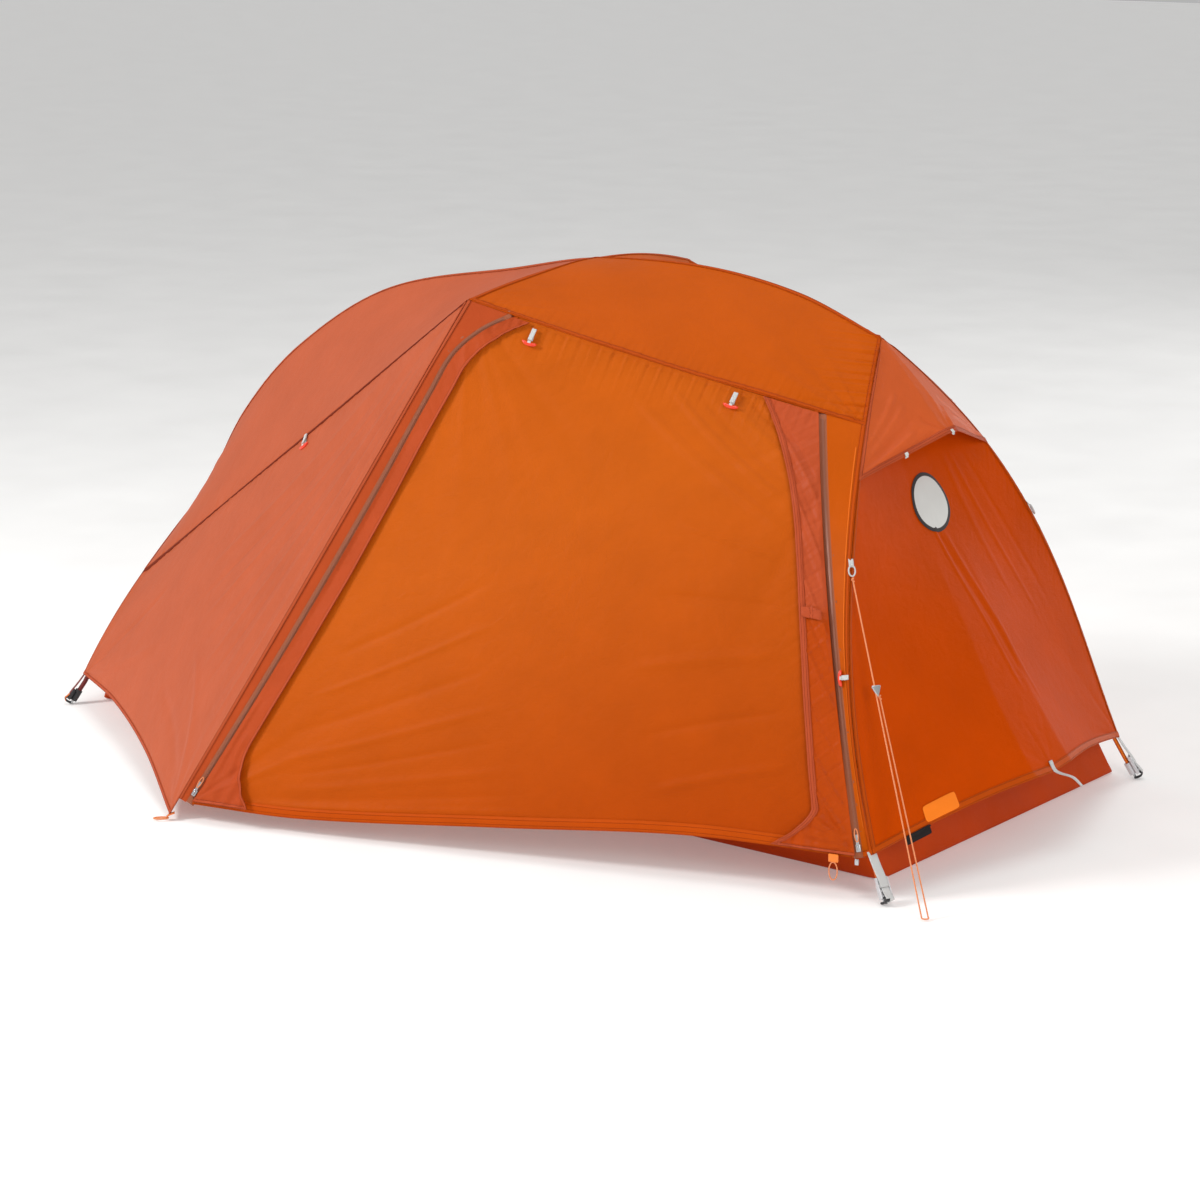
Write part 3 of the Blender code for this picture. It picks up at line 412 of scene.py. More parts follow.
def sheet_mesh(name, grid, material):
    """One layer of cloth."""
    rows, columns = grid.shape[:2]
    faces = grid_faces(rows, columns, turned=not facing_out(grid))
    return mesh_object(name, grid, faces, material, metric(grid))


def slab_mesh(name, outer, inner, material):
    """A thin closed piece between two grids, such as a hem, a band or a strap."""
    rows, columns = outer.shape[:2]
    out = facing_out(outer)
    back = rows * columns
    faces = grid_faces(rows, columns, 0, not out) + grid_faces(rows, columns, back, out)
    rim = [c for c in range(columns)] + [r * columns + columns - 1 for r in range(1, rows)]
    rim += [(rows - 1) * columns + c for c in range(columns - 2, -1, -1)]
    rim += [r * columns for r in range(rows - 2, 0, -1)]
    for near, far in zip(rim, rim[1:] + rim[:1]):
        quad = (near, back + near, back + far, far)
        faces.append(quad if out else quad[::-1])
    uv = metric(outer)
    return mesh_object(name, np.concatenate([outer.reshape(-1, 3), inner.reshape(-1, 3)]), faces, material,
                       np.concatenate([uv.reshape(-1, 2), uv.reshape(-1, 2)]))


def panel_grid(cloth, columns, rows, lift=0.0):
    v, u = np.meshgrid(np.linspace(0, 1, rows), np.linspace(0, 1, columns), indexing="ij")
    return cloth.at(u, v, lift)


def edge_band(name, cloth, side, width, material, lift=0.0006, thick=0.0008, steps=150, start=0.0, end=1.0,
              away=0.0):
    """A band along one edge of a cloth: side is left, right, bottom or top."""
    t = np.linspace(start, end, steps)
    fine = np.linspace(0, 1, 25)
    upright = side in ("left", "right")
    spans = [gaps(cloth.surface(*((fine, fine * 0 + s) if upright else (fine * 0 + s, fine)))).sum()
             for s in t]
    spans = np.maximum(spans, 0.03)
    inner = np.minimum((away + width) / spans, 0.96)
    outer = np.minimum(away / spans, 0.9)
    across = np.linspace(0, 1, 5)[None, :]
    share = outer[:, None] + (inner - outer)[:, None] * across
    if side in ("right", "top"):
        share = 1 - share
    run = np.repeat(t[:, None], 5, axis=1)
    at = (share, run) if upright else (run, share)
    bulge = np.sin(np.linspace(0, math.pi, 5))[None, :] * 0.0006
    top = cloth.at(*at, lift + thick + bulge)
    low = cloth.at(*at, lift)
    return slab_mesh(name, top, low, material)


def tube(name, points, radius, material, sides=12, cyclic=False):
    """A round rod or cord as a closed mesh."""
    points = [Vector(p) for p in points]
    count = len(points)
    rings, up = [], None
    for i in range(count):
        near = points[i - 1] if i or cyclic else points[0]
        far = points[(i + 1) % count] if i < count - 1 or cyclic else points[-1]
        way = (far - near).normalized()
        up = way.orthogonal() if up is None else up - way * up.dot(way)
        up.normalize()
        side = way.cross(up)
        size = radius[i] if hasattr(radius, "__len__") else radius
        for k in range(sides):
            a = 2 * math.pi * k / sides
            rings.append(points[i] + (up * math.cos(a) + side * math.sin(a)) * size)
    faces = ring_faces(count, sides, cyclic)
    if not cyclic:
        faces.append(tuple(range(sides - 1, -1, -1)))
        faces.append(tuple(range((count - 1) * sides, count * sides)))
    made = mesh_object(name, [tuple(p) for p in rings], faces, material)
    made.data.set_sharp_from_angle(angle=math.radians(60))
    return made


# ---------------------------------------------------------------- materials

def linear(red, green, blue):
    """A display colour, 0 to 255, as the linear colour that shaders take."""
    return tuple(((c / 255 + 0.055) / 1.055) ** 2.4 if c > 10 else c / 255 / 12.92
                 for c in (red, green, blue))


def calc(tree, operation, *values):
    node = tree.nodes.new("ShaderNodeMath")
    node.operation = operation
    for socket, value in zip(node.inputs, values):
        if isinstance(value, (int, float)):
            socket.default_value = value
        else:
            tree.links.new(value, socket)
    return node.outputs[0]


def noise(tree, vector, scale, detail=3.0, rough=0.55, distortion=0.0):
    node = tree.nodes.new("ShaderNodeTexNoise")
    node.inputs["Scale"].default_value = scale
    node.inputs["Detail"].default_value = detail
    node.inputs["Roughness"].default_value = rough
    node.inputs["Distortion"].default_value = distortion
    tree.links.new(vector, node.inputs["Vector"])
    return node.outputs[0]


def shades(srgb, dark, light=1.0):
    """A darker and a lighter shade of a display colour."""
    return tuple(tuple(c * level for c in linear(*srgb)) for level in (dark, light))


def cloth_place(tree):
    """The texture coordinates, and their parts across and along the cloth."""
    uv = tree.nodes.new("ShaderNodeTexCoord").outputs["UV"]
    split = tree.nodes.new("ShaderNodeSeparateXYZ")
    tree.links.new(uv, split.inputs[0])
    return uv, split.outputs[0], split.outputs[1]


def mixed(tree, share, first, second):
    node = tree.nodes.new("ShaderNodeMix")
    node.data_type = "RGBA"
    tree.links.new(share, node.inputs[0])
    for socket, value in ((node.inputs[6], first), (node.inputs[7], second)):
        if isinstance(value, tuple):
            socket.default_value = (*value, 1)
        else:
            tree.links.new(value, socket)
    return node.outputs[2]


def bumped(tree, shader, height, distance, strength=1.0):
    node = tree.nodes.new("ShaderNodeBump")
    node.inputs["Distance"].default_value = distance
    node.inputs["Strength"].default_value = strength
    tree.links.new(height, node.inputs["Height"])
    tree.links.new(node.outputs[0], shader.inputs["Normal"])
    return node.outputs[0]


def started(name):
    material = bpy.data.materials.new(name)
    material.use_nodes = True
    tree = material.node_tree
    tree.nodes.clear()
    shader = tree.nodes.new("ShaderNodeBsdfPrincipled")
    output = tree.nodes.new("ShaderNodeOutputMaterial")
    tree.links.new(shader.outputs[0], output.inputs[0])
    return material, tree, shader, output


CLOTH_SHADES = (0.86, 1.12)


def fabric(name, srgb, through=0.2, rough=0.5, shine=0.07, crinkle=0.9, ripstop=0.006, stitch_rows=(),
           thread=None, painted_lit_colour=None, change_at=0.0, change_over=0.012, lean=0.3):
    """Coated ripstop cloth; its texture coordinates are metres along the cloth.

    A second colour, the lit one, takes over from change_at upwards, across change_over, on a line that leans;
    it paints light into the cloth's colour: the door runs from painted shade to a painted sheen, and the
    right flap gains a painted sheen at its top.
    """
    material, tree, shader, output = started(name)
    uv, x, y = cloth_place(tree)
    tone = noise(tree, uv, 7.0, 4.0, 0.6)
    paint = mixed(tree, tone, *shades(srgb, *CLOTH_SHADES))
    if painted_lit_colour:
        edge = calc(tree, "ADD", y, calc(tree, "MULTIPLY", x, lean))
        share = calc(tree, "DIVIDE", calc(tree, "SUBTRACT", edge, change_at), change_over)
        share = calc(tree, "MINIMUM", calc(tree, "MAXIMUM", share, 0.0), 1.0)
        paint = mixed(tree, share, paint, mixed(tree, tone, *shades(painted_lit_colour, *CLOTH_SHADES)))
    creases = noise(tree, uv, 34.0, 5.0, 0.55, 0.6)
    height = calc(tree, "MULTIPLY", creases, crinkle)
    weave = noise(tree, uv, 1400.0, 1.0)
    height = calc(tree, "ADD", height, calc(tree, "MULTIPLY", weave, 0.03))
    if ripstop:
        lines = [calc(tree, "LESS_THAN", calc(tree, "PINGPONG", c, ripstop / 2), 0.0003) for c in (x, y)]
        height = calc(tree, "ADD", height, calc(tree, "MULTIPLY", calc(tree, "MAXIMUM", *lines), 0.06))
    if stitch_rows:
        aside = calc(tree, "ABSOLUTE", x)
        near = [calc(tree, "LESS_THAN", calc(tree, "ABSOLUTE", calc(tree, "SUBTRACT", aside, row)), 0.00045)
                for row in stitch_rows]
        row = near[0] if len(near) == 1 else calc(tree, "MAXIMUM", *near)
        dash = calc(tree, "LESS_THAN", calc(tree, "FRACT", calc(tree, "DIVIDE", y, 0.0036)), 0.62)
        stitched = calc(tree, "MULTIPLY", row, dash)
        paint = mixed(tree, stitched, paint, linear(*(thread or srgb)))
        height = calc(tree, "ADD", height, calc(tree, "MULTIPLY", row, -0.25))
    tree.links.new(paint, shader.inputs["Base Color"])
    shader.inputs["Roughness"].default_value = rough
    shader.inputs["Specular IOR Level"].default_value = shine
    normal = bumped(tree, shader, height, 0.0016)
    if through:
        glow = tree.nodes.new("ShaderNodeBsdfTranslucent")
        tree.links.new(paint, glow.inputs[0])
        tree.links.new(normal, glow.inputs["Normal"])
        mix = tree.nodes.new("ShaderNodeMixShader")
        mix.inputs[0].default_value = through
        tree.links.new(shader.outputs[0], mix.inputs[1])
        tree.links.new(glow.outputs[0], mix.inputs[2])
        tree.links.new(mix.outputs[0], output.inputs[0])
    return material


def webbing(name, srgb, rough=0.6, pitch=0.0016):
    """Flat woven tape, with its ribs across it."""
    material, tree, shader, _ = started(name)
    _, x, y = cloth_place(tree)
    slanted = calc(tree, "ADD", y, calc(tree, "MULTIPLY", x, 0.6))
    rib = calc(tree, "PINGPONG", slanted, pitch / 2)
    share = calc(tree, "MULTIPLY", rib, 2 / pitch)
    tree.links.new(mixed(tree, share, *shades(srgb, 0.7)), shader.inputs["Base Color"])
    shader.inputs["Roughness"].default_value = rough
    shader.inputs["Sheen Weight"].default_value = 0.1
    bumped(tree, shader, share, 0.0005)
    return material


def hard(name, srgb, rough=0.35, metal=0.0, grain=300.0, coat=0.0):
    """Moulded plastic, or metal."""
    material, tree, shader, _ = started(name)
    at = tree.nodes.new("ShaderNodeTexCoord").outputs["Object"]
    grit = noise(tree, at, grain, 2.0)
    tree.links.new(mixed(tree, grit, *shades(srgb, 0.9, 1.06)), shader.inputs["Base Color"])
    rough_at = calc(tree, "ADD", calc(tree, "MULTIPLY", grit, 0.12), rough - 0.06)
    tree.links.new(rough_at, shader.inputs["Roughness"])
    shader.inputs["Metallic"].default_value = metal
    shader.inputs["Coat Weight"].default_value = coat
    bumped(tree, shader, grit, 0.0001, 0.4)
    return material


def braid(name, srgb):
    """Round braided cord."""
    material, tree, shader, _ = started(name)
    at = tree.nodes.new("ShaderNodeTexCoord").outputs["Object"]
    wave = tree.nodes.new("ShaderNodeTexWave")
    wave.wave_type = "BANDS"
    wave.bands_direction = "DIAGONAL"
    wave.inputs["Scale"].default_value = 320.0
    wave.inputs["Distortion"].default_value = 1.0
    tree.links.new(at, wave.inputs["Vector"])
    tree.links.new(mixed(tree, wave.outputs["Fac"], *shades(srgb, 0.75)), shader.inputs["Base Color"])
    shader.inputs["Roughness"].default_value = 0.7
    bumped(tree, shader, wave.outputs["Fac"], 0.0004)
    return material


FLY_AMBER = fabric("fly_amber", (203, 88, 2))
# The end wall's amber is a darker, deeper copy of the fly's amber: painted shade for the wall that faces away
# from the key light.
HEAD_AMBER_PAINTED_SHADE = fabric("head_wall_amber_painted_shade", (206, 74, 1), rough=0.45, shine=0.02)
# The fly's coral is its orange cloth with a whitish sheen painted into the colour: a painted reflection of
# the bright studio at grazing angles. The hood's coral is the same.
FLY_ORANGE_PAINTED_SHEEN = fabric("fly_coral", (198, 98, 63), shine=0.10, rough=0.46)
HOOD_ORANGE_PAINTED_SHEEN = fabric("hood_orange_painted_sheen", (216, 98, 46), shine=0.10, rough=0.42)
# A lighter orange for the band over the head leg pole: a painted highlight where the pole presses the cloth.
POLE_PAINTED_HIGHLIGHT = fabric("pole_painted_highlight", (222, 106, 26), 0.0)
# The left zip strip and left flap: orange cloth with a painted sheen in its coral colour.
STRIP_ORANGE_PAINTED_SHEEN = fabric("strip_orange_painted_sheen", (192, 80, 38), shine=0.06, rough=0.5)
# The door's amber: painted shade darkens it towards the lower right, and a painted sheen lightens it towards
# the upper left.
DOOR_AMBER_PAINTED_SHADE_SHEEN = fabric("door_amber_painted_shade_sheen", (184, 68, 0), painted_lit_colour=(206, 96, 16), change_at=-0.30, change_over=1.0,
                    lean=-0.40)
# The right flap: amber lower down, with a painted sheen turning its upper part coral.
FLAP_AMBER_PAINTED_SHEEN = fabric("flap_amber_painted_sheen", (194, 74, 8), shine=0.10, rough=0.42, painted_lit_colour=(196, 84, 44),
                       change_at=0.48, change_over=0.03)
# Seams on the coral panels: darker doubled cloth, with the panels' painted sheen in their colour.
SEAM_ORANGE_PAINTED_SHEEN = fabric("seam_orange_painted_sheen", (184, 82, 46), 0.1, stitch_rows=(0.0034,), thread=(120, 36, 12))
SEAM_AMBER = fabric("seam_amber", (188, 74, 4), 0.1, stitch_rows=(0.0034,), thread=(124, 36, 4))
SEAM_DARK = fabric("seam_dark", (126, 44, 20), 0.0, stitch_rows=(0.0022,), thread=(90, 28, 12))
# Hems on the coral panels: darker doubled cloth, with the panels' painted sheen in their colour.
HEM_ORANGE_PAINTED_SHEEN = fabric("hem_orange_painted_sheen", (182, 78, 44), 0.05, stitch_rows=(0.0030,), thread=(116, 36, 12))
HEM_AMBER = fabric("hem_amber", (190, 74, 2), 0.05, stitch_rows=(0.0052,), thread=(140, 44, 4))
FLOOR_RED = fabric("floor_red", (202, 70, 10), 0.15, crinkle=0.8)
INNER_CREAM = fabric("inner_cream", (226, 216, 198), 0.3, rough=0.65, crinkle=0.8, ripstop=0.004)
INNER_EDGE = fabric("inner_edge", (150, 120, 96), 0.0, rough=0.7, stitch_rows=(0.0025,),
                    thread=(230, 220, 200))
POLE_ORANGE = hard("pole_orange", (226, 112, 28), 0.28, 0.75, 500.0)
FERRULE = hard("ferrule", (196, 150, 90), 0.3, 0.85, 500.0)
ALLOY = hard("alloy_grey", (196, 198, 200), 0.3, 0.9)
BLACK = hard("hub_black", (38, 38, 40), 0.42)
ORANGE_PLASTIC = hard("buckle_orange", (242, 128, 36), 0.4)
TOGGLE_RED = hard("toggle_red", (238, 62, 32), 0.35, coat=0.2)
SILVER = webbing("webbing_silver", (222, 222, 220))
DARK_WEB = webbing("webbing_dark", (70, 40, 34))
RED_WEB = webbing("webbing_red", (128, 24, 16))
ORANGE_WEB = webbing("webbing_orange", (244, 122, 36))
ZIP_TAPE = webbing("zip_tape", (184, 98, 56), 0.6, 0.0011)
ZIP_TEETH = hard("zip_teeth", (158, 98, 74), 0.4, 0.1)
CORD = braid("cord_orange", (255, 158, 104))
PLATE = hard("plate_silver", (206, 206, 208), 0.35, 0.35)
BLANK_SILVER = fabric("patch_silver", (206, 206, 202), 0.0, rough=0.55, ripstop=0.0, crinkle=0.2)
BLANK_RIM = fabric("patch_rim", (60, 56, 56), 0.0, rough=0.55, ripstop=0.0, crinkle=0.2)
BLANK_ORANGE = fabric("patch_orange", (248, 128, 34), 0.0, rough=0.6, ripstop=0.0, crinkle=0.2)
BLANK_BLACK = fabric("patch_black", (40, 36, 36), 0.0, rough=0.6, ripstop=0.0, crinkle=0.2)

# ---------------------------------------------------------------- the fly's seam lines

ridge = smooth(RIDGE)
brow_share = ridge.knots[BROW_KNOT]
head_leg = bezier(HEAD_LEG)
foot_leg = bezier(FOOT_LEG)
seam_foot_end = foot_leg(FOOT_SEAM_AT)
seam_head_end = head_leg(DOOR_SEAM_AT)
head_corner = head_leg(HEAD_CORNER_AT)
foot_corner = foot_leg(FOOT_CORNER_AT)


def brow(t):
    t = np.asarray(t, float)
    square = (t * t)[..., None]
    p = BROW_TOP * (1 - square) + BROW_END * square
    p[..., 1] = BROW_END[1] * t
    return p


def door_seam(t):
    share = np.asarray(t, float)[..., None]
    return line(BROW_END, seam_head_end)(t) + np.array((0, -0.012, -0.024)) * share * (1 - share)


left_zip = smooth(arc_points(*LEFT_ZIP_ARC, 5) + LEFT_ZIP_CURL + [door_seam(LEFT_ZIP_TOP_AT)])
right_zip = smooth(arc_points(*RIGHT_ZIP, door_seam(RIGHT_ZIP_TOP_AT), 25))
foot_hem = smooth([foot_corner, (-0.903, -0.530, 0.076), (-0.616, -0.729, 0.056), STAKE])
door_hem = smooth([left_zip(0.0), (-0.051, -0.859, 0.034), (0.376, -0.734, 0.062), (0.763, -0.621, 0.089),
                   right_zip(0.0)])
left_seam = stretch(line(STAKE, BROW_END), STRIP_FOOT_AT, 1)
foot_seam = line(seam_foot_end, BROW_END)

# ---------------------------------------------------------------- the fly's panels

def trimmed(surface, left, right):
    """The surface cut back from its left and right edges by a distance in metres."""
    v = np.linspace(0, 1, 60)
    fine = np.linspace(0, 1, 15)
    width = [gaps(surface(fine, np.full(15, at))).sum() for at in v]

    def cut(u, at):
        size = np.maximum(np.interp(at, v, width), 0.03)
        low, high = left / size, 1 - right / size
        return surface(low + (high - low) * np.asarray(u, float), at)
    return cut


def softened(surface, reach):
    """The surface with its middle crease rounded over."""
    def rounded(u, v):
        u = np.asarray(u, float)
        way = np.minimum(reach, np.minimum(u, 1 - u))
        return (surface(u - way, v) + surface(u + way, v)) / 2
    return rounded


def arched(surface, near, far):
    """The surface with its lower hem drawn up in two arches; near and far are their heights."""
    def drawn(u, v):
        u, v = np.asarray(u, float), np.asarray(v, float)
        rise = np.where(u < 0.5, near, far) * np.abs(np.sin(2 * math.pi * u))
        return surface(u, rise + (1 - rise) * v)
    return drawn


foot_front = coons(foot_seam, stretch(ridge, 0, brow_share), stretch(foot_leg, FOOT_SEAM_AT, 0),
                   stretch(brow, 1, 0))
head_front = coons(door_seam, stretch(ridge, brow_share, 1), stretch(brow, 1, 0),
                   stretch(head_leg, DOOR_SEAM_AT, 0))
FOOT_ROOF_FOLDS = [
    fan(BROW_END, (-0.85, -0.20, 0.55), 13, 0.0030, 0.34, 11, 0.9),
    fan(FOOT_TOP, (-0.30, -0.25, 0.85), 9, 0.0022, 0.22, 12, 1.0),
    pucker(foot_seam, 0.0020, 0.017, 0.026, 13, 0.3),
    pucker(stretch(ridge, 0, brow_share), 0.0007, 0.015, 0.016, 14),
    swell(0.0035, 0.34, 15)]
HEAD_ROOF_FOLDS = [
    fan(BROW_END, (0.70, -0.20, 1.05), 12, 0.0024, 0.26, 21, 0.9),
    fan(seam_head_end, (0.25, -0.20, 1.10), 14, 0.0034, 0.30, 22, 1.1),
    pucker(door_seam, 0.0020, 0.018, 0.036, 23),
    pucker(stretch(head_leg, DOOR_SEAM_AT, 0), 0.0040, 0.020, 0.060, 24),
    pucker(stretch(ridge, brow_share, 1), 0.0008, 0.014, 0.016, 25),
    swell(0.0028, 0.30, 26)]
foot_roof = {"front": Cloth(foot_front, FOOT_ROOF_FOLDS)}
head_roof = {"front": Cloth(head_front, HEAD_ROOF_FOLDS, 0.014)}

foot_panel_base = coons(foot_hem, foot_seam, stretch(foot_leg, FOOT_CORNER_AT, FOOT_SEAM_AT),
                        line(STAKE, BROW_END))
left_strip_base = coons(line(left_seam(0.0), left_zip(0.0)), stretch(door_seam, 0, LEFT_ZIP_TOP_AT),
                        left_seam, left_zip)
door_base = coons(door_hem, stretch(door_seam, LEFT_ZIP_TOP_AT, RIGHT_ZIP_TOP_AT), left_zip, right_zip)


def leg_beside_zip(t):
    """The head leg from its corner up to the door's seam, taken level with the right zip."""
    t = np.asarray(t, float)
    low, high = head_corner[2] - right_zip(0.0)[2], seam_head_end[2] - right_zip(1.0)[2]
    shares = np.linspace(1, 0, 800)
    return head_leg(np.interp(right_zip(t)[..., 2] + low + (high - low) * t, head_leg(shares)[:, 2], shares))


right_strip_base = coons(line(right_zip(0.0), head_corner), stretch(door_seam, RIGHT_ZIP_TOP_AT, 1),
                         right_zip, leg_beside_zip)

foot_panel = Cloth(foot_panel_base, [
    fan(BROW_END, (-0.55, -0.60, 0.30), 9, 0.0042, 0.62, 31, 0.75),
    fan(STAKE, (-0.60, -0.45, 0.45), 11, 0.0040, 0.22, 32, 1.0),
    fan(foot_corner, (-0.55, -0.55, 0.45), 9, 0.0034, 0.20, 33, 1.0),
    pucker(foot_seam, 0.0022, 0.018, 0.034, 34, 0.2),
    pucker(line(STAKE, BROW_END), 0.0008, 0.022, 0.016, 35),
    *folds_on(foot_panel_base, 0.0034, 0.0085, [
        (0.985, 0.90, 0.93, 0.10), (0.975, 0.92, 0.88, 0.14), (0.97, 0.94, 0.83, 0.18),
        (0.96, 0.95, 0.77, 0.16), (0.95, 0.95, 0.70, 0.20), (0.93, 0.96, 0.62, 0.26),
        (0.90, 0.97, 0.54, 0.34), (0.86, 0.97, 0.46, 0.42), (0.82, 0.98, 0.40, 0.55)]),
    *folds_on(foot_panel_base, 0.0026, 0.010, [
        (0.97, 0.04, 0.60, 0.30), (0.96, 0.03, 0.52, 0.16), (0.03, 0.03, 0.40, 0.30),
        (0.02, 0.10, 0.26, 0.62)]),
    swell(0.0045, 0.36, 36)])
left_strip = Cloth(trimmed(left_strip_base, 0, ZIP_GAP), [pucker(left_zip, 0.0006, 0.018, 0.02, 41)], 0.2)
door = Cloth(trimmed(door_base, ZIP_GAP, ZIP_GAP), [
    fan(BROW_END, (0.40, -0.60, 0.40), 14, 0.0042, 0.40, 51, 0.9),
    fan(left_zip(0.0), (0.45, -0.60, 0.55), 17, 0.0036, 0.34, 52, 0.9),
    fan(seam_head_end, (0.60, -0.55, 0.45), 14, 0.0056, 0.36, 53, 0.8),
    fan(right_zip(0.0), (0.50, -0.60, 0.40), 12, 0.0046, 0.26, 54, 0.9),
    pucker(door_seam, 0.0026, 0.019, 0.046, 55),
    pucker(door_hem, 0.0012, 0.024, 0.030, 56),
    pucker(right_zip, 0.0018, 0.026, 0.085, 58, 0.5),
    *folds_on(door_base, 0.0022, 0.0062, [
        (0.10, 0.02, 0.56, 0.035), (0.10, 0.03, 0.52, 0.07), (0.10, 0.045, 0.50, 0.12),
        (0.09, 0.07, 0.46, 0.18), (0.09, 0.10, 0.44, 0.25), (0.08, 0.15, 0.40, 0.33),
        (0.08, 0.22, 0.38, 0.42), (0.08, 0.30, 0.34, 0.50)]),
    *folds_on(door_base, 0.0042, 0.0080, [
        (0.93, 0.74, 0.52, 0.975), (0.93, 0.79, 0.60, 0.985), (0.935, 0.84, 0.68, 0.99),
        (0.94, 0.89, 0.76, 0.992), (0.93, 0.68, 0.44, 0.93)]),
    *folds_on(door_base, 0.0034, 0.0080, [
        (0.93, 0.62, 0.66, 0.66), (0.93, 0.52, 0.64, 0.50), (0.93, 0.42, 0.62, 0.34),
        (0.93, 0.30, 0.66, 0.20), (0.92, 0.18, 0.68, 0.08)]),
    swell(0.0050, 0.42, 57)], 0.012)
right_strip = Cloth(trimmed(right_strip_base, ZIP_GAP, 0), [
    fold(stretch(head_leg, 0.24, 0.86), 0.0034, 0.006, 0.05),
    pucker(right_zip, 0.0010, 0.024, 0.016, 61, 0.5),
    pucker(stretch(head_leg, HEAD_CORNER_AT, DOOR_SEAM_AT), 0.0007, 0.016, 0.014, 62)], 0.2)


def left_flap_width(v):
    return 0.038 + 0.058 * np.clip(1 - v / 0.13, 0, 1) ** 2 + 0.02 * v ** 6


def right_flap_width(v):
    return 0.056 + 0.062 * np.clip(1 - v / 0.09, 0, 1) ** 1.5 + 0.12 * v ** 8


def flap(width, side, seed, pleat):
    """A storm flap: sewn beside its zip and free on the other edge, where it stands off the door."""
    def surface(u, v):
        u, v = np.asarray(u, float), np.asarray(v, float)
        share = u * width(v) if side == "left" else 1 - (1 - u) * width(v)
        free = u if side == "left" else 1 - u
        p = door.at(share, 0.004 + 0.992 * v)
        n = normals_of(door_base, share, v)
        flare = np.clip(1 - v / 0.14, 0, 1) ** 1.5
        wave = np.sin(v * 37 + seed) * 0.5 + np.sin(v * 17 + 2 * seed) * 0.5
        pleats = np.sin(share * pleat + seed) * 0.004 * flare
        stand = 0.0042 + free * (0.0026 + 0.0014 * wave + 0.010 * flare) + pleats * free
        return p + n * stand[..., None]
    sewn_edge = left_zip if side == "left" else right_zip
    wrinkles = [pucker(sewn_edge, 0.0010, 0.026, 0.030, seed, 0.8)]
    if side == "right":
        starts = (0.12, 0.23, 0.34, 0.43, 0.50, 0.58, 0.66, 0.73, 0.79, 0.84)
        slants = [(0.05, at + 0.10 + 0.05 * at, 0.95, at - 0.03) for at in starts]
        wrinkles += folds_on(surface, 0.0040, 0.0036, slants, 0.15, -0.5)
        wrinkles += folds_on(surface, 0.0052, 0.0034, [
            (0.02, 0.006, 0.96, 0.016), (0.04, 0.022, 0.96, 0.018), (0.02, 0.038, 0.95, 0.022),
            (0.02, 0.056, 0.95, 0.026), (0.02, 0.078, 0.94, 0.030), (0.04, 0.104, 0.94, 0.034),
            (0.10, 0.135, 0.93, 0.040)], 0.12, -0.6)
    else:
        wrinkles += folds_on(surface, 0.0022, 0.0050, [
            (0.15, 0.01, 0.20, 0.22), (0.40, 0.005, 0.35, 0.18), (0.65, 0.005, 0.55, 0.15),
            (0.85, 0.005, 0.72, 0.12)], 0.2, -0.6)
    return Cloth(surface, wrinkles, 0.2)


left_flap = flap(left_flap_width, "left", 7, 260)
right_flap = flap(right_flap_width, "right", 8, 230)

wall_leg = stretch(head_leg, HEAD_CORNER_AT, WALL_TOP_AT - 0.04)
wall_crease = smooth(WALL_CREASE)
head_wall_base = side_by_side(ruled(wall_leg, wall_crease), ruled(wall_crease, flip(wall_leg)))
head_wall_shape = arched(softened(head_wall_base, 0.07), 0.012, 0.014)
head_wall = Cloth(head_wall_shape, [
    fan(head_corner, (1.10, -0.20, 0.45), 11, 0.0026, 0.20, 71, 1.0),
    fan(head_corner * MIRROR, (1.10, 0.20, 0.45), 11, 0.0030, 0.22, 72, 1.0),
    fan(WALL_CREASE[0], (1.05, 0.0, 0.55), 12, 0.0012, 0.14, 73, 1.2),
    *folds_on(head_wall_shape, 0.0018, 0.0040, [
        (0.475, 0.74, 0.545, 0.20), (0.49, 0.72, 0.572, 0.24), (0.52, 0.70, 0.60, 0.16)], 0.12),
    *folds_on(head_wall_shape, 0.0012, 0.0060, [
        (0.70, 0.95, 0.80, 0.35), (0.78, 0.96, 0.88, 0.42), (0.66, 0.93, 0.70, 0.45)], 0.2),
    pucker(wall_leg, 0.0009, 0.018, 0.020, 75, 0.4),
    pucker(flip(wall_leg), 0.0014, 0.022, 0.030, 77, 0.8),
    swell(0.0030, 0.34, 76)])
hood_side = stretch(head_leg, HOOD_END_AT, 0.02)
hood_crease = line(HOOD_APEX, HEAD_TOP)
hood_base = side_by_side(ruled(hood_side, hood_crease), ruled(hood_crease, flip(hood_side)))
vent_hood = Cloth(softened(hood_base, 0.04), [
    *folds_on(hood_base, 0.0032, 0.0055, [
        (0.02, 0.03, 0.34, 0.16), (0.02, 0.08, 0.36, 0.28), (0.03, 0.14, 0.33, 0.42),
        (0.06, 0.02, 0.44, 0.07), (0.03, 0.24, 0.28, 0.56)], 0.15),
    *folds_on(hood_base, 0.0028, 0.0055, [
        (0.98, 0.05, 0.66, 0.22), (0.97, 0.12, 0.64, 0.40), (0.52, 0.02, 0.60, 0.30),
        (0.47, 0.02, 0.38, 0.26)], 0.15),
    fan(hood_side(0.0), (0.95, -0.08, 0.92), 13, 0.0034, 0.16, 81, 1.0),
    fan(hood_side(0.0) * MIRROR, (0.95, 0.08, 0.92), 13, 0.0034, 0.16, 82, 1.0),
    fan(HOOD_APEX, (0.88, -0.10, 0.95), 9, 0.0020, 0.12, 83, 1.2),
    pucker(hood_side, 0.0010, 0.015, 0.024, 84),
    swell(0.0018, 0.16, 85)])
foot_side = stretch(foot_leg, FOOT_CORNER_AT, 0.02)
foot_crease = smooth(FOOT_CREASE)
foot_wall_base = side_by_side(ruled(foot_side, foot_crease), ruled(foot_crease, flip(foot_side)))
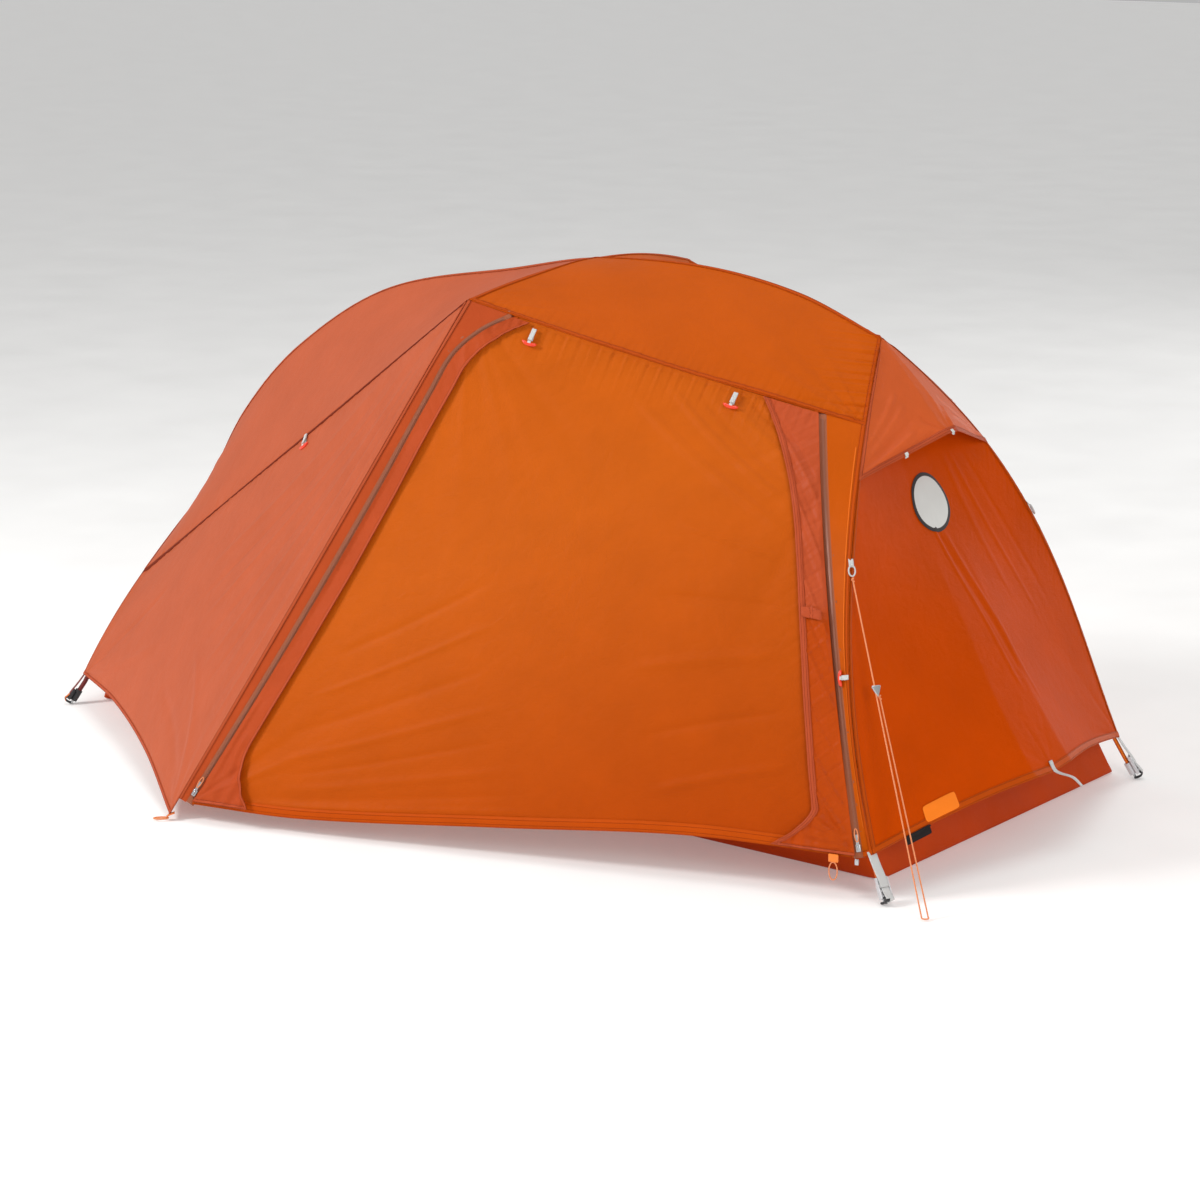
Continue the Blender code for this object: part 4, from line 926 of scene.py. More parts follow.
foot_wall = Cloth(arched(softened(foot_wall_base, 0.06), 0.05, 0.05), [
    fan(foot_corner, (-1.15, 0.0, 0.30), 9, 0.0030, 0.16, 91, 1.0),
    fan(foot_corner * MIRROR, (-1.15, 0.0, 0.30), 9, 0.0030, 0.16, 92, 1.0),
    fan(FOOT_TOP, (-1.18, 0.0, 0.20), 9, 0.0024, 0.18, 93, 1.2),
    swell(0.0025, 0.22, 94)])
brow_back = BROW_END * MIRROR
back_near = coons(smooth([foot_corner * MIRROR, (-0.56, 0.508, 0.058), BACK_PULL_OUT]), flip(foot_seam),
                  flip(stretch(foot_leg, FOOT_CORNER_AT, FOOT_SEAM_AT)), line(BACK_PULL_OUT, brow_back))
back_far = coons(smooth([BACK_PULL_OUT, (0.56, 0.570, 0.068), head_corner * MIRROR]), flip(door_seam),
                 line(BACK_PULL_OUT, brow_back), flip(stretch(head_leg, HEAD_CORNER_AT, DOOR_SEAM_AT)))
back_wall = Cloth(side_by_side(back_near, back_far), [
    fan(brow_back, BACK_PULL_OUT, 15, 0.0040, 0.45, 101, 1.2),
    fan(BACK_PULL_OUT, brow_back, 11, 0.0040, 0.26, 102, 1.2),
    fan(head_corner * MIRROR, (0.5, 0.45, 0.6), 9, 0.0032, 0.24, 103, 1.0),
    fan(foot_corner * MIRROR, (-0.5, 0.45, 0.6), 9, 0.0032, 0.24, 104, 1.0),
    swell(0.0050, 0.40, 105)], 0.02)

# ---------------------------------------------------------------- making the pieces

def body(node):
    return NODES[node]["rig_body"]


def stands_for(piece, *nodes, slot=None):
    """Hang a piece on the body of the CAD nodes that it replaces."""
    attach(piece, body(nodes[0]))
    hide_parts(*nodes)
    return piece


def on(piece, node):
    """Hang an extra piece, such as a hem, on the body of a CAD node."""
    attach(piece, body(node))
    return piece


def panel(name, cloth, columns, rows, material, node, slot, trims=(), lift=0.0):
    """A panel of cloth with its hems and bands."""
    grid = panel_grid(cloth, columns, rows, lift)
    made = stands_for(sheet_mesh(name, grid, material), node, slot=slot)
    uv = metric(grid)
    wide = float(uv[..., 0].max() - uv[..., 0].min())
    tall = float(uv[..., 1].max() - uv[..., 1].min())
    area = float(sum(face.area for face in made.data.polygons))
    wide = min(wide, area / (0.5 * tall))
    bands = [on(edge_band(f"{name}_{trim[0]}_{i}", cloth, *trim), node) for i, trim in enumerate(trims)]
    return made


def edges(sides, width, material):
    """The same band along several edges of a panel."""
    return [(side, width, material) for side in sides]


def block(name, centre, axes, size, bevel, material):
    """A box with rounded edges; axes are its three directions."""
    mesh = bpy.data.meshes.new(name)
    shape = bmesh.new()
    bmesh.ops.create_cube(shape, size=1.0)
    bmesh.ops.scale(shape, vec=size, verts=shape.verts)
    if bevel:
        bmesh.ops.bevel(shape, geom=shape.edges[:], offset=bevel, segments=3, profile=0.5, affect="EDGES")
    turn = Matrix([Vector(a).normalized() for a in axes]).transposed()
    if turn.determinant() < 0:
        turn.col[2] = -turn.col[2]
    bmesh.ops.transform(shape, matrix=Matrix.Translation(Vector(centre)) @ turn.to_4x4(), verts=shape.verts)
    shape.to_mesh(mesh)
    shape.free()
    mesh.materials.append(material)
    mesh.shade_smooth()
    mesh.set_sharp_from_angle(angle=math.radians(35))
    made = bpy.data.objects.new(name, mesh)
    bpy.context.scene.collection.objects.link(made)
    return made


def ribbon(name, points, across, width, thick, material, columns=7):
    """A strap along points; across is its width direction at each one."""
    p = np.array([np.asarray(q, float) for q in points])
    a = np.broadcast_to(np.asarray(across, float), p.shape)
    way = unit(np.gradient(p, axis=0))
    a = unit(a - way * np.sum(a * way, axis=1, keepdims=True))
    n = np.cross(way, a)
    width = np.broadcast_to(np.asarray(width, float), (len(p),))
    share = np.linspace(-0.5, 0.5, columns)
    middle = p[:, None] + a[:, None] * (share[None, :, None] * width[:, None, None])
    half = n[:, None] * (thick / 2)
    return slab_mesh(name, middle + half, middle - half, material)


def curved(points, steps=24):
    return smooth(points)(np.linspace(0, 1, steps))


def joined(name, parts):
    """Several meshes as one object."""
    with bpy.context.temp_override(active_object=parts[0], selected_editable_objects=parts):
        bpy.ops.object.join()
    parts[0].name = name
    parts[0].data.name = name
    return parts[0]


# ---------------------------------------------------------------- the fly

# Colours on these panels paint light: coral cloths carry a painted sheen, the door painted shade and sheen,
# the right flap a painted sheen, the end wall painted shade, and the band over the head leg a painted
# highlight.
for side in ("front", "back"):
    if side == "back":
        foot_roof["back"] = Cloth(flip(foot_front), [
            fan(BROW_END * MIRROR, (-0.85, 0.20, 0.55), 13, 0.0030, 0.34, 16, 0.9),
            pucker(flip(foot_seam), 0.0011, 0.019, 0.020, 17, 0.3), swell(0.0035, 0.34, 18)])
        head_roof["back"] = Cloth(flip(head_front), [
            fan(BROW_END * MIRROR, (0.70, 0.20, 1.05), 12, 0.0024, 0.26, 27, 0.9),
            fan(seam_head_end * MIRROR, (0.25, 0.20, 1.10), 14, 0.0034, 0.30, 28, 1.1),
            pucker(flip(door_seam), 0.0012, 0.017, 0.026, 29), swell(0.0028, 0.30, 30)])
    node = "foot_roof_" + side
    panel(node + "_cloth", foot_roof[side], 190, 130, FLY_ORANGE_PAINTED_SHEEN, node, "fly_coral",
          trims=edges(("top", "left"), 0.009, SEAM_ORANGE_PAINTED_SHEEN))
    node = "head_roof_" + side
    panel(node + "_cloth", head_roof[side], 230, 120, FLY_AMBER, node, "fly_amber",
          trims=[("top", 0.009, SEAM_AMBER), ("left", 0.010, SEAM_AMBER), ("right", 0.009, SEAM_AMBER),
                 ("bottom", 0.012, SEAM_AMBER)])

panel("vestibule_foot_cloth", foot_panel, 200, 170, FLY_ORANGE_PAINTED_SHEEN, "vestibule_foot_panel", "fly_coral",
      trims=[("top", 0.008, SEAM_DARK), ("right", 0.006, SEAM_ORANGE_PAINTED_SHEEN), ("bottom", 0.008, HEM_ORANGE_PAINTED_SHEEN)])
panel("strip_left_cloth", left_strip, 24, 260, STRIP_ORANGE_PAINTED_SHEEN, "zip_strip_left", "fly_coral",
      trims=[("left", 0.008, SEAM_ORANGE_PAINTED_SHEEN)])
panel("strip_right_cloth", right_strip, 30, 220, FLY_AMBER, "zip_strip_right", "fly_amber",
      trims=[("right", 0.010, SEAM_AMBER), ("bottom", 0.012, HEM_AMBER),
             # the lighter band over the pole is a painted highlight on a slight raised bulge
             ("right", 0.0032, POLE_PAINTED_HIGHLIGHT, 0.0002, 0.0006, 150, 0.06, 0.94, 0.0125)])
panel("vestibule_door_cloth", door, 330, 230, DOOR_AMBER_PAINTED_SHADE_SHEEN, "vestibule_door", "fly_amber",
      trims=[("bottom", 0.024, HEM_AMBER), *edges(("left", "right"), 0.010, SEAM_AMBER)])
panel("storm_flap_left_cloth", left_flap, 26, 300, STRIP_ORANGE_PAINTED_SHEEN, "storm_flap_left", "fly_coral",
      trims=[("right", 0.006, HEM_ORANGE_PAINTED_SHEEN), ("bottom", 0.008, HEM_ORANGE_PAINTED_SHEEN)])
panel("storm_flap_right_cloth", right_flap, 34, 360, FLAP_AMBER_PAINTED_SHEEN, "storm_flap_right", "fly_coral",
      trims=[("left", 0.014, HEM_ORANGE_PAINTED_SHEEN), ("bottom", 0.006, HEM_ORANGE_PAINTED_SHEEN)])
panel("head_wall_cloth", head_wall, 200, 170, HEAD_AMBER_PAINTED_SHADE, "head_wall", "fly_amber",
      trims=[*edges(("left", "right"), 0.010, SEAM_AMBER), ("bottom", 0.016, HEM_AMBER)])
panel("vent_hood_cloth", vent_hood, 150, 90, HOOD_ORANGE_PAINTED_SHEEN, "vent_hood", "fly_coral",
      trims=[*edges(("left", "right"), 0.009, SEAM_ORANGE_PAINTED_SHEEN), ("bottom", 0.014, HEM_ORANGE_PAINTED_SHEEN)])
panel("foot_wall_cloth", foot_wall, 110, 80, FLY_ORANGE_PAINTED_SHEEN, "foot_wall", "fly_coral",
      trims=[*edges(("left", "right"), 0.010, SEAM_ORANGE_PAINTED_SHEEN), ("bottom", 0.014, HEM_ORANGE_PAINTED_SHEEN)])
panel("back_wall_cloth", back_wall, 240, 150, FLY_AMBER, "back_wall", "fly_amber",
      trims=[("bottom", 0.016, HEM_AMBER), *edges(("top", "left", "right"), 0.010, SEAM_AMBER)])

# ---------------------------------------------------------------- zips

ZIP_HALF_TAPE = 0.0115
TAPE_THICK = 0.0009
TAPE_UNDER = 0.0012      # the tape's lower face is this far under the zip's middle line
TOOTH_PITCH = 0.0024
TOOTH_HALF = (0.0021, 0.0008, 0.0010)
TOOTH_ASIDE = 0.0012
TOOTH_LIFT = 0.0005
SLIDER_AT = 0.022        # share of the zip at which its slider rests
SLIDER_LIFT = 0.0040
SLIDER_SIZE = (0.0092, 0.0150, 0.0044)
PULL_SIZE = (0.0056, 0.0200, 0.0014)
ZIPS = (("left", left_zip, left_strip_base, 0.97),        # the zip, its strip, and its place across it
        ("right", right_zip, right_strip_base, 0.03))


def frames_on(curve, surface, edge, shares):
    """Point, direction, outward normal and width direction along a zip."""
    step = 0.004
    p = curve(shares)
    way = unit(curve(np.clip(shares + step, 0, 1)) - curve(np.clip(shares - step, 0, 1)))
    n = normals_of(surface, np.full_like(shares, edge), np.clip(shares, 0.01, 0.99))
    across = unit(np.cross(way, n))
    return p, way, np.cross(across, way), across


def zip_pieces(name, curve, surface, edge, node):
    shares = np.linspace(0.001, 0.999, 260)
    p, way, n, across = frames_on(curve, surface, edge, shares)
    x = np.linspace(-ZIP_HALF_TAPE, ZIP_HALF_TAPE, 5)[None, :, None]
    low = p[:, None] + across[:, None] * x - n[:, None] * TAPE_UNDER
    tape = slab_mesh(name + "_tape", low + n[:, None] * TAPE_THICK, low, ZIP_TAPE)
    stands_for(tape, node, slot="zip_brown")
    count = int(gaps(p).sum() / TOOTH_PITCH)
    shares = np.linspace(0.012, 0.985, count)
    p, way, n, across = frames_on(curve, surface, edge, shares)
    sign = np.where(np.arange(count) % 2 == 0, 1.0, -1.0)[:, None]
    middle = p + across * sign * TOOTH_ASIDE + n * TOOTH_LIFT
    wide, long, deep = TOOTH_HALF
    corners = [(a, b, c) for a in (-1, 1) for b in (-1, 1) for c in (-1, 1)]
    points = np.stack([middle + across * a * wide + way * b * long + n * c * deep for a, b, c in corners], 1)
    box_faces = [(0, 1, 3, 2), (4, 6, 7, 5), (0, 4, 5, 1), (2, 3, 7, 6), (0, 2, 6, 4), (1, 5, 7, 3)]
    faces = [tuple(8 * i + k for k in face) for i in range(count) for face in box_faces]
    teeth = mesh_object(name + "_teeth", points, faces, ZIP_TEETH, smooth_faces=False)
    on(teeth, node)


def slider(name, curve, surface, edge, node):
    """The zip's slider: two wings, a bridge, a metal pull and a cord loop on it."""
    p, way, n, across = (value[0] for value in frames_on(curve, surface, edge, np.array([SLIDER_AT])))
    base = p + n * SLIDER_LIFT
    wings = block(name + "_body", base, (across, way, n), SLIDER_SIZE, 0.0014, ALLOY)
    arch = [base + way * ahead + n * up
            for ahead, up in ((-0.005, 0.0018), (-0.004, 0.0044), (0.003, 0.0048), (0.006, 0.0018))]
    bridge = tube(name + "_bridge", curved(arch, 14), 0.0011, ALLOY, 10)
    ring = base + way * 0.004 + n * 0.0044
    pull = block(name + "_pull", ring + way * 0.0125, (across, way, n), PULL_SIZE, 0.0006, ALLOY)
    loop = [ring + way * (0.021 + 0.013 * math.cos(a)) + across * 0.0034 * math.sin(a) + n * 0.0006
            for a in round_angles(24)]
    tail = tube(name + "_cord", loop, 0.0011, CORD, 8, cyclic=True)
    made = joined(name + "_slider", [wings, bridge, pull, tail])
    return stands_for(made, node, slot="alloy_grey")


for side, *zip_row in ZIPS:
    zip_pieces("zip_" + side, *zip_row, "zip_" + side)
for side, *zip_row in ZIPS:
    slider("zip_" + side, *zip_row, "zip_slider_" + side)

# ---------------------------------------------------------------- toggles

TAB_WIDTH = 0.0095
TAB_THICK = 0.0011
BAR_HALF = 0.0165
BAR_RADIUS = 0.0038


def toggle(name, node, joint_name, length=0.0262, lift=0.0, root=0.004):
    """A folded webbing tab with a moulded cross bar; root is how far it reaches behind its fold line."""
    joint = JOINTS[joint_name]
    top = np.array(joint["pos_m"])
    along = unit(np.array(joint["axis"]))
    low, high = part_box(node)
    down = (np.array(low) + np.array(high)) / 2 - top
    down = unit(down - along * np.dot(down, along))
    out = facing(np.cross(along, down), top - INSIDE)
    end = length - 0.0042
    front = [top - down * root + out * 0.0002, top + down * (end * 0.45) + out * (0.0016 + lift * 0.4),
             top + down * end + out * (0.0040 + lift)]
    rear = [top - down * root - out * root * 0.3, top + down * (end * 0.45) + out * (lift * 0.4 - 0.0004),
            top + down * end + out * (lift - 0.0030)]
    tab = ribbon(name + "_tab", curved(front, 14), along, TAB_WIDTH, TAB_THICK, SILVER)
    lining = ribbon(name + "_lining", curved(rear, 14), along, TAB_WIDTH, TAB_THICK, SILVER)
    centre = top + down * length + out * lift
    wrap = [centre + (-down * math.cos(a) + out * math.sin(a)) * 0.0033 for a in np.linspace(0.45, 2.6, 9)]
    cuff = ribbon(name + "_cuff", wrap, along, 0.0070, TAB_THICK, SILVER)
    reach = np.linspace(-1, 1, 15)
    ends = [centre + along * (x * BAR_HALF) + down * (0.0042 - 0.0040 * x * x) for x in reach]
    swell_at = BAR_RADIUS * (1 - 0.75 * np.abs(reach) ** 6)
    bar = tube(name + "_bar", ends, swell_at, TOGGLE_RED, 14)
    return stands_for(joined(name, [bar, tab, lining, cuff]), node, slot="toggle_red")


toggle("door_left_toggle", "toggle_door_left", "toggle_door_left_flip")
toggle("door_right_toggle", "toggle_door_right", "toggle_door_right_flip")
toggle("foot_seam_toggle_piece", "toggle_foot_seam", "toggle_foot_seam_flip")
toggle("side_zip_toggle_piece", "toggle_side_zip", "toggle_side_zip_flip", 0.0175, 0.0012, 0.0)

# ---------------------------------------------------------------- poles

HUB_REACH = 0.027
SOCKET_OVERLAP = 0.012   # how deep a pole stands in its hub's socket
FERRULE_RADIUS = 0.0051
FERRULE_HALF = 0.012     # as a share of its pole's curve
SPINE_CUTS = (0.0, 0.36, 0.68, 1.0)
LEG_CUT_AT = 0.47
TIP_LENGTH = 0.030


def pole_line(leg):
    def moved(t):
        t = np.asarray(t, float)
        p, middle = leg(t), inset(leg, POLE_INSET)(t)
        fade = np.where(t < 0.9, 1.0, (1 - t) / 0.1)[..., None]
        return p + (middle - p) * fade
    return moved


def share_past(curve, centre, distance, start=0.0, end=1.0):
    t = np.linspace(start, end, 2000)
    far = np.linalg.norm(curve(t) - centre, axis=1)
    return float(t[np.argmax(far >= distance)])


def pole(name, curve, start, end, nodes, sleeves=(), steps=60):
    """A pole section, with the ferrules that take the next section."""
    rod = tube(name + "_rod", curve(np.linspace(start, end, steps)), POLE_RADIUS, POLE_ORANGE, 16)
    stands_for(rod, *nodes, slot="pole_orange")
    for i, (low, high) in enumerate(sleeves):
        ferrule = tube(f"{name}_ferrule_{i}", curve(np.linspace(low, high, 8)), FERRULE_RADIUS, FERRULE, 16)
        on(ferrule, nodes[0])


spine = inset(ridge, POLE_INSET)
head_pole = pole_line(head_leg)
foot_pole = pole_line(foot_leg)
head_centre, foot_centre = spine(1.0), spine(0.0)
spine_start = share_past(spine, foot_centre, HUB_REACH - SOCKET_OVERLAP)
spine_end = share_past(spine, head_centre, HUB_REACH - SOCKET_OVERLAP, 1.0, 0.0)
cuts = [spine_start + (spine_end - spine_start) * share for share in SPINE_CUTS]
for i, node in enumerate(("spine_pole_foot", "spine_pole_middle", "spine_pole_head")):
    end = cuts[i + 1]
    pole(node, spine, cuts[i], end, [node], [(end - FERRULE_HALF, end + FERRULE_HALF)] if i < 2 else [])


BUCKLE_MIDDLE = 0.0205   # from the ground end of a pole to the middle of its buckle's ring
RING_RADIUS = 0.0086
PLATE_OUT = 0.0095       # how far a buckle's plate stands out from its pole
RUNG_OUT = 0.0125


def corner_set(name, leg, tip_at, fly_corner, plate, strap, tail_web, wide, tall):
    """A pole's metal tip, the buckle it stands in, and the strap and hook that hold the fly down to it."""
    start, end = leg(tip_at), leg(1.0)
    way = unit(end - start)
    side = unit(np.cross((0, 0, 1), way))
    out = facing(unit(np.cross(way, side)), fly_corner - start)
    tip = tube("tip_" + name, [start - way * 0.006, start + way * 0.002, start + way * 0.008,
                               end - way * 0.008, end - way * 0.0035],
               [0.0042, 0.0042, 0.0030, 0.0030, 0.0018], ALLOY, 14)
    stands_for(tip, "pole_tip_" + name, slot="alloy_grey")
    middle = end - way * (0.0045 / -way[2] + BUCKLE_MIDDLE)
    axes = (out, side, way)
    ring = tube("socket_" + name, [middle - way * 0.014, middle + way * 0.014], [RING_RADIUS, RING_RADIUS],
                plate, 20)
    face = middle - way * (tall / 2 - 0.0165)
    parts = [ring, block("wings_" + name, face + out * PLATE_OUT, axes, (0.0040, wide, tall), 0.0016, plate)]
    for i, at in enumerate((-0.36, -0.12, 0.12, 0.36)):
        parts.append(block(f"rung_{name}_{i}", face + out * RUNG_OUT + way * (at * tall), axes,
                           (0.0036, wide * 0.94, 0.0046), 0.0014, plate))
    for sign in (-1, 1):
        parts.append(block(f"rail_{name}_{sign}", face + out * RUNG_OUT + side * (sign * wide * 0.44), axes,
                           (0.0050, 0.0032, tall * 0.96), 0.0012, plate))
    stands_for(joined("buckle_" + name, parts), "corner_buckle_" + name, slot="hub_black")
    top = face - way * (tall / 2 - 0.006) + out * 0.0150
    high = fly_corner - out * 0.002 - way * 0.008
    band = curved([high, (high + top) / 2 - out * 0.001, top, face + out * 0.0158], 22)
    stands_for(ribbon("strap_" + name, band, side, wide * 0.72, 0.0014, strap), "corner_strap_" + name,
               slot="webbing_silver")
    hook_at = middle - side * 0.004 + way * 0.019
    curl = [hook_at + out * (0.0080 + 0.0100 * math.sin(a)) - way * (0.005 * math.cos(a))
            for a in np.linspace(0.2, 4.4, 20)]
    on(ribbon("hook_" + name, curl, side, 0.0100, 0.0034, BLACK), "corner_buckle_" + name)
    tail = [face + out * 0.0150, face + out * 0.0175 + way * 0.010,
            middle + out * 0.019 + way * 0.018 + side * 0.002,
            middle + out * 0.015 + way * 0.024 + side * 0.005]
    on(ribbon("tail_" + name, curved(tail, 16), side, wide * 0.6, 0.0011, tail_web), "corner_buckle_" + name)


head_start = share_past(head_pole, head_centre, HUB_REACH - SOCKET_OVERLAP)
foot_start = share_past(foot_pole, foot_centre, HUB_REACH - SOCKET_OVERLAP)
for side, mirror in SIDES:
    leg, short = mirror(head_pole), mirror(foot_pole)
    tip_at = share_past(leg, leg(1.0), TIP_LENGTH, 1.0, 0.0)
    pole("head_leg_upper_" + side, leg, head_start, LEG_CUT_AT, ["head_leg_upper_" + side],
         [(LEG_CUT_AT - 0.015, LEG_CUT_AT + 0.022)])
    pole("head_leg_lower_" + side, leg, LEG_CUT_AT, tip_at, ["head_leg_lower_" + side])
    corner_set("head_" + side, leg, tip_at, mirror(head_leg)(HEAD_CORNER_AT), PLATE, SILVER, SILVER, 0.028,
               0.044)
    tip_at = share_past(short, short(1.0), TIP_LENGTH, 1.0, 0.0)
    pole("foot_leg_" + side, short, foot_start, tip_at, ["foot_leg_" + side])
    corner_set("foot_" + side, short, tip_at, mirror(foot_leg)(FOOT_CORNER_AT), BLACK, RED_WEB, ORANGE_WEB,
               0.020, 0.026)
    sleeve = share_past(short, mirror(foot_leg)(FOOT_CORNER_AT), 0.028, 0.5, 1.0)
    on(tube("foot_sleeve_" + side, short(np.linspace(sleeve, tip_at, 10)), 0.0054, RED_WEB, 14),
       "foot_leg_" + side)


HUB_BOSS = ((-0.0065, 0.0105), (-0.005, 0.012), (0.005, 0.012), (0.0065, 0.0105))  # height, radius
HUB_RIVET = ((0.006, 0.0036), (0.0078, 0.0034), (0.0084, 0.0018))
HUB_SOCKET = ((0.002, 0.0060), (0.024, 0.0060), (0.0245, 0.0068), (HUB_REACH, 0.0068))


def turned_part(name, centre, way, profile, material, sides):
    """A round part along way; each row of its profile is a distance from the centre and a radius."""
    return tube(name, [centre + way * far for far, _ in profile], [radius for _, radius in profile], material,
                sides)


def hub(name, centre, arms, node):
    """A boss with a riveted cap and one moulded socket for each pole."""
    up = outward(centre)
    parts = [turned_part(name + "_boss", centre, up, HUB_BOSS, BLACK, 28),
             turned_part(name + "_rivet", centre, up, HUB_RIVET, ALLOY, 18)]
    parts += [turned_part(f"{name}_socket_{i}", centre, arm, HUB_SOCKET, BLACK, 18)
              for i, arm in enumerate(arms)]
    stands_for(joined(name + "_piece", parts), node, slot="hub_black")


def way_from(curve, centre, start, end):
    return unit(curve(share_past(curve, centre, HUB_REACH, start, end)) - centre)


head_arm = way_from(head_pole, head_centre, 0.0, 1.0)
foot_arm = way_from(foot_pole, foot_centre, 0.0, 1.0)
hub("head_hub", head_centre, [way_from(spine, head_centre, 1.0, 0.0), head_arm, head_arm * MIRROR],
    "head_hub")
hub("foot_hub", foot_centre, [way_from(spine, foot_centre, 0.0, 1.0), foot_arm, foot_arm * MIRROR],
    "foot_hub")


def brow_line(t):
    way = 2 * np.asarray(t, float) - 1
    p = brow(np.abs(way))
    p[..., 1] = np.where(way > 0, -p[..., 1], p[..., 1])
    p[..., 2] -= POLE_INSET + 0.013 * (1 - way * way)
    return p


pole("brow", brow_line, 0.01, 0.99, ["brow_pole"], steps=90)
for i, (low, high) in enumerate(((0.002, 0.012), (0.988, 0.998))):
    on(tube(f"brow_cap_{i}", brow_line(np.linspace(low, high, 6)),
            [0.0030, 0.0048, 0.0052, 0.0052, 0.0052, 0.0050], BLACK, 16), "brow_pole")
crossing = spine(brow_share)
spine_way = way_at(spine, brow_share)
swivel_up = facing(np.cross((0, 1, 0), spine_way), (0, 0, 1))
swivel_middle = np.array((brow_line(0.5)[0], 0, (crossing[2] + brow_line(0.5)[2]) / 2))
halves = [block("swivel_" + half, swivel_middle + swivel_up * rise, (spine_way, (0, 1, 0), swivel_up),
                (long, wide, 0.0128), 0.003, BLACK)
          for half, rise, long, wide in (("upper", 0.0066, 0.034, 0.020), ("lower", -0.0066, 0.020, 0.034))]
stands_for(joined("brow_swivel_piece", halves), "brow_swivel", slot="hub_black")

# ---------------------------------------------------------------- vent prop, loops and straps

prop_foot = WALL_CREASE[-1] + np.array((0.022, 0, -0.028))
prop_tip = HOOD_APEX + np.array((-0.022, 0, -0.008))
prop_way = unit(prop_tip - prop_foot)
prop_out = np.cross((0, 1, 0), prop_way)
prop_bow = [prop_foot, (prop_foot + prop_tip) / 2 + prop_out * 0.0012, prop_tip]
strut = ribbon("vent_prop_strut", curved(prop_bow, 24), (0, 1, 0), 0.014, 0.0024, BLACK)
rib = ribbon("vent_prop_rib", curved([prop_foot + prop_way * 0.006, prop_tip - prop_way * 0.006], 12),
             (0, 1, 0), 0.004, 0.0048, BLACK)
stands_for(joined("vent_prop_piece", [strut, rib]), "vent_prop", slot="hub_black")


def oval(centre, along, across, length, width, steps=28):
    return [centre + along * (math.cos(a) * length / 2) + across * (math.sin(a) * width / 2)
            for a in round_angles(steps)]


guy_out = unit(np.array((0.62, -0.70, 0.0)))
guy_down = unit(guy_out * 0.5 + np.array((0, 0, -1.0)))
for side, mirror in (("front", np.ones(3)), ("back", MIRROR)):
    seam = head_leg(GUY_AT) * mirror
    out, down = guy_out * mirror, guy_down * mirror
    across = unit(np.array((0.70, 0.62, 0.0))) * mirror
    ring = tube("guy_ring_" + side, oval(seam + out * 0.006 + down * 0.0105, down, across, 0.022, 0.013),
                0.0016, SILVER, 10, cyclic=True)
    stands_for(ring, "guy_loop_" + side, slot="webbing_silver")
    tab = curved([seam - down * 0.012 - out * 0.001, seam + out * 0.004, seam + out * 0.006 + down * 0.003],
                 12)
    on(ribbon("guy_tab_" + side, tab, across, 0.010, 0.0012, SILVER), "guy_loop_" + side)

stake_away = unit(np.array((-0.75, -0.66, 0.0)))
stake_across = np.array((-stake_away[1], stake_away[0], 0.0))
stake_middle = STAKE + stake_away * 0.019 + np.array((0, 0, -0.007))
stake_ring = tube("stake_ring", oval(stake_middle, stake_away, stake_across, 0.030, 0.013), 0.0018, CORD, 10,
                  cyclic=True)
stands_for(stake_ring, "vestibule_stake_loop", slot="cord_orange")
stake_tab = curved([STAKE - stake_away * 0.010 + np.array((0, 0, 0.004)), STAKE + stake_away * 0.002,
                    STAKE + stake_away * 0.008 + np.array((0, 0, -0.006))], 12)
on(ribbon("stake_tab", stake_tab, stake_across, 0.014, 0.0014, ORANGE_WEB), "vestibule_foot_panel")
pull_way = unit(np.array((0.037, 0, -0.025)))
pull_top = np.array(WALL_CREASE[0]) + pull_way * 0.002
pull = curved([head_wall.at(0.5, 0.03, 0.003), head_wall.at(0.5, 0.0, 0.003), pull_top + pull_way * 0.026,
               pull_top + pull_way * 0.052], 20)
pull_width = np.interp(np.linspace(0, 1, 20), (0, 0.3, 1), (0.013, 0.012, 0.008))
stands_for(ribbon("pull_strap", pull, (0, 1, 0), pull_width, 0.0014, SILVER), "head_wall_pull_strap",
           slot="webbing_silver")

# ---------------------------------------------------------------- guy line

GUY_GROUND = np.array((1.268, -0.563, 0.004))
CORD_RADIUS = 0.0015
CORD_LOOP = 0.007
TENSIONER_AT = 0.34
guy_top = head_leg(GUY_AT) + guy_out * 0.006 + guy_down * 0.0245
guy_way = unit(GUY_GROUND - guy_top)
guy_side = unit(np.cross(guy_way, (0, 0, 1)))
ahead = unit(guy_way * np.array((1, 1, 0)))
down_end = GUY_GROUND + guy_side * CORD_LOOP
route = [guy_top + (down_end - guy_top) * i / 60 for i in range(61)]
route += [GUY_GROUND + guy_side * CORD_LOOP * math.cos(a) + ahead * CORD_LOOP * math.sin(a)
          for a in np.linspace(0, math.pi, 14)[1:-1]]
stop = guy_top + (GUY_GROUND - guy_top) * TENSIONER_AT - guy_side * 0.004 + guy_way * 0.0125
up_start = GUY_GROUND - guy_side * CORD_LOOP
route += [up_start + (stop - up_start) * i / 40 for i in range(41)]
guy_length = float(gaps(np.array(route)).sum())
guy_line = tube("guy_line_cord", route, CORD_RADIUS, CORD, 10)
stands_for(guy_line, "guy_line", slot="cord_orange")

strand = unit(down_end - guy_top)
runner_at = guy_top + (down_end - guy_top) * TENSIONER_AT
runner_out = unit(np.cross(strand, guy_side))


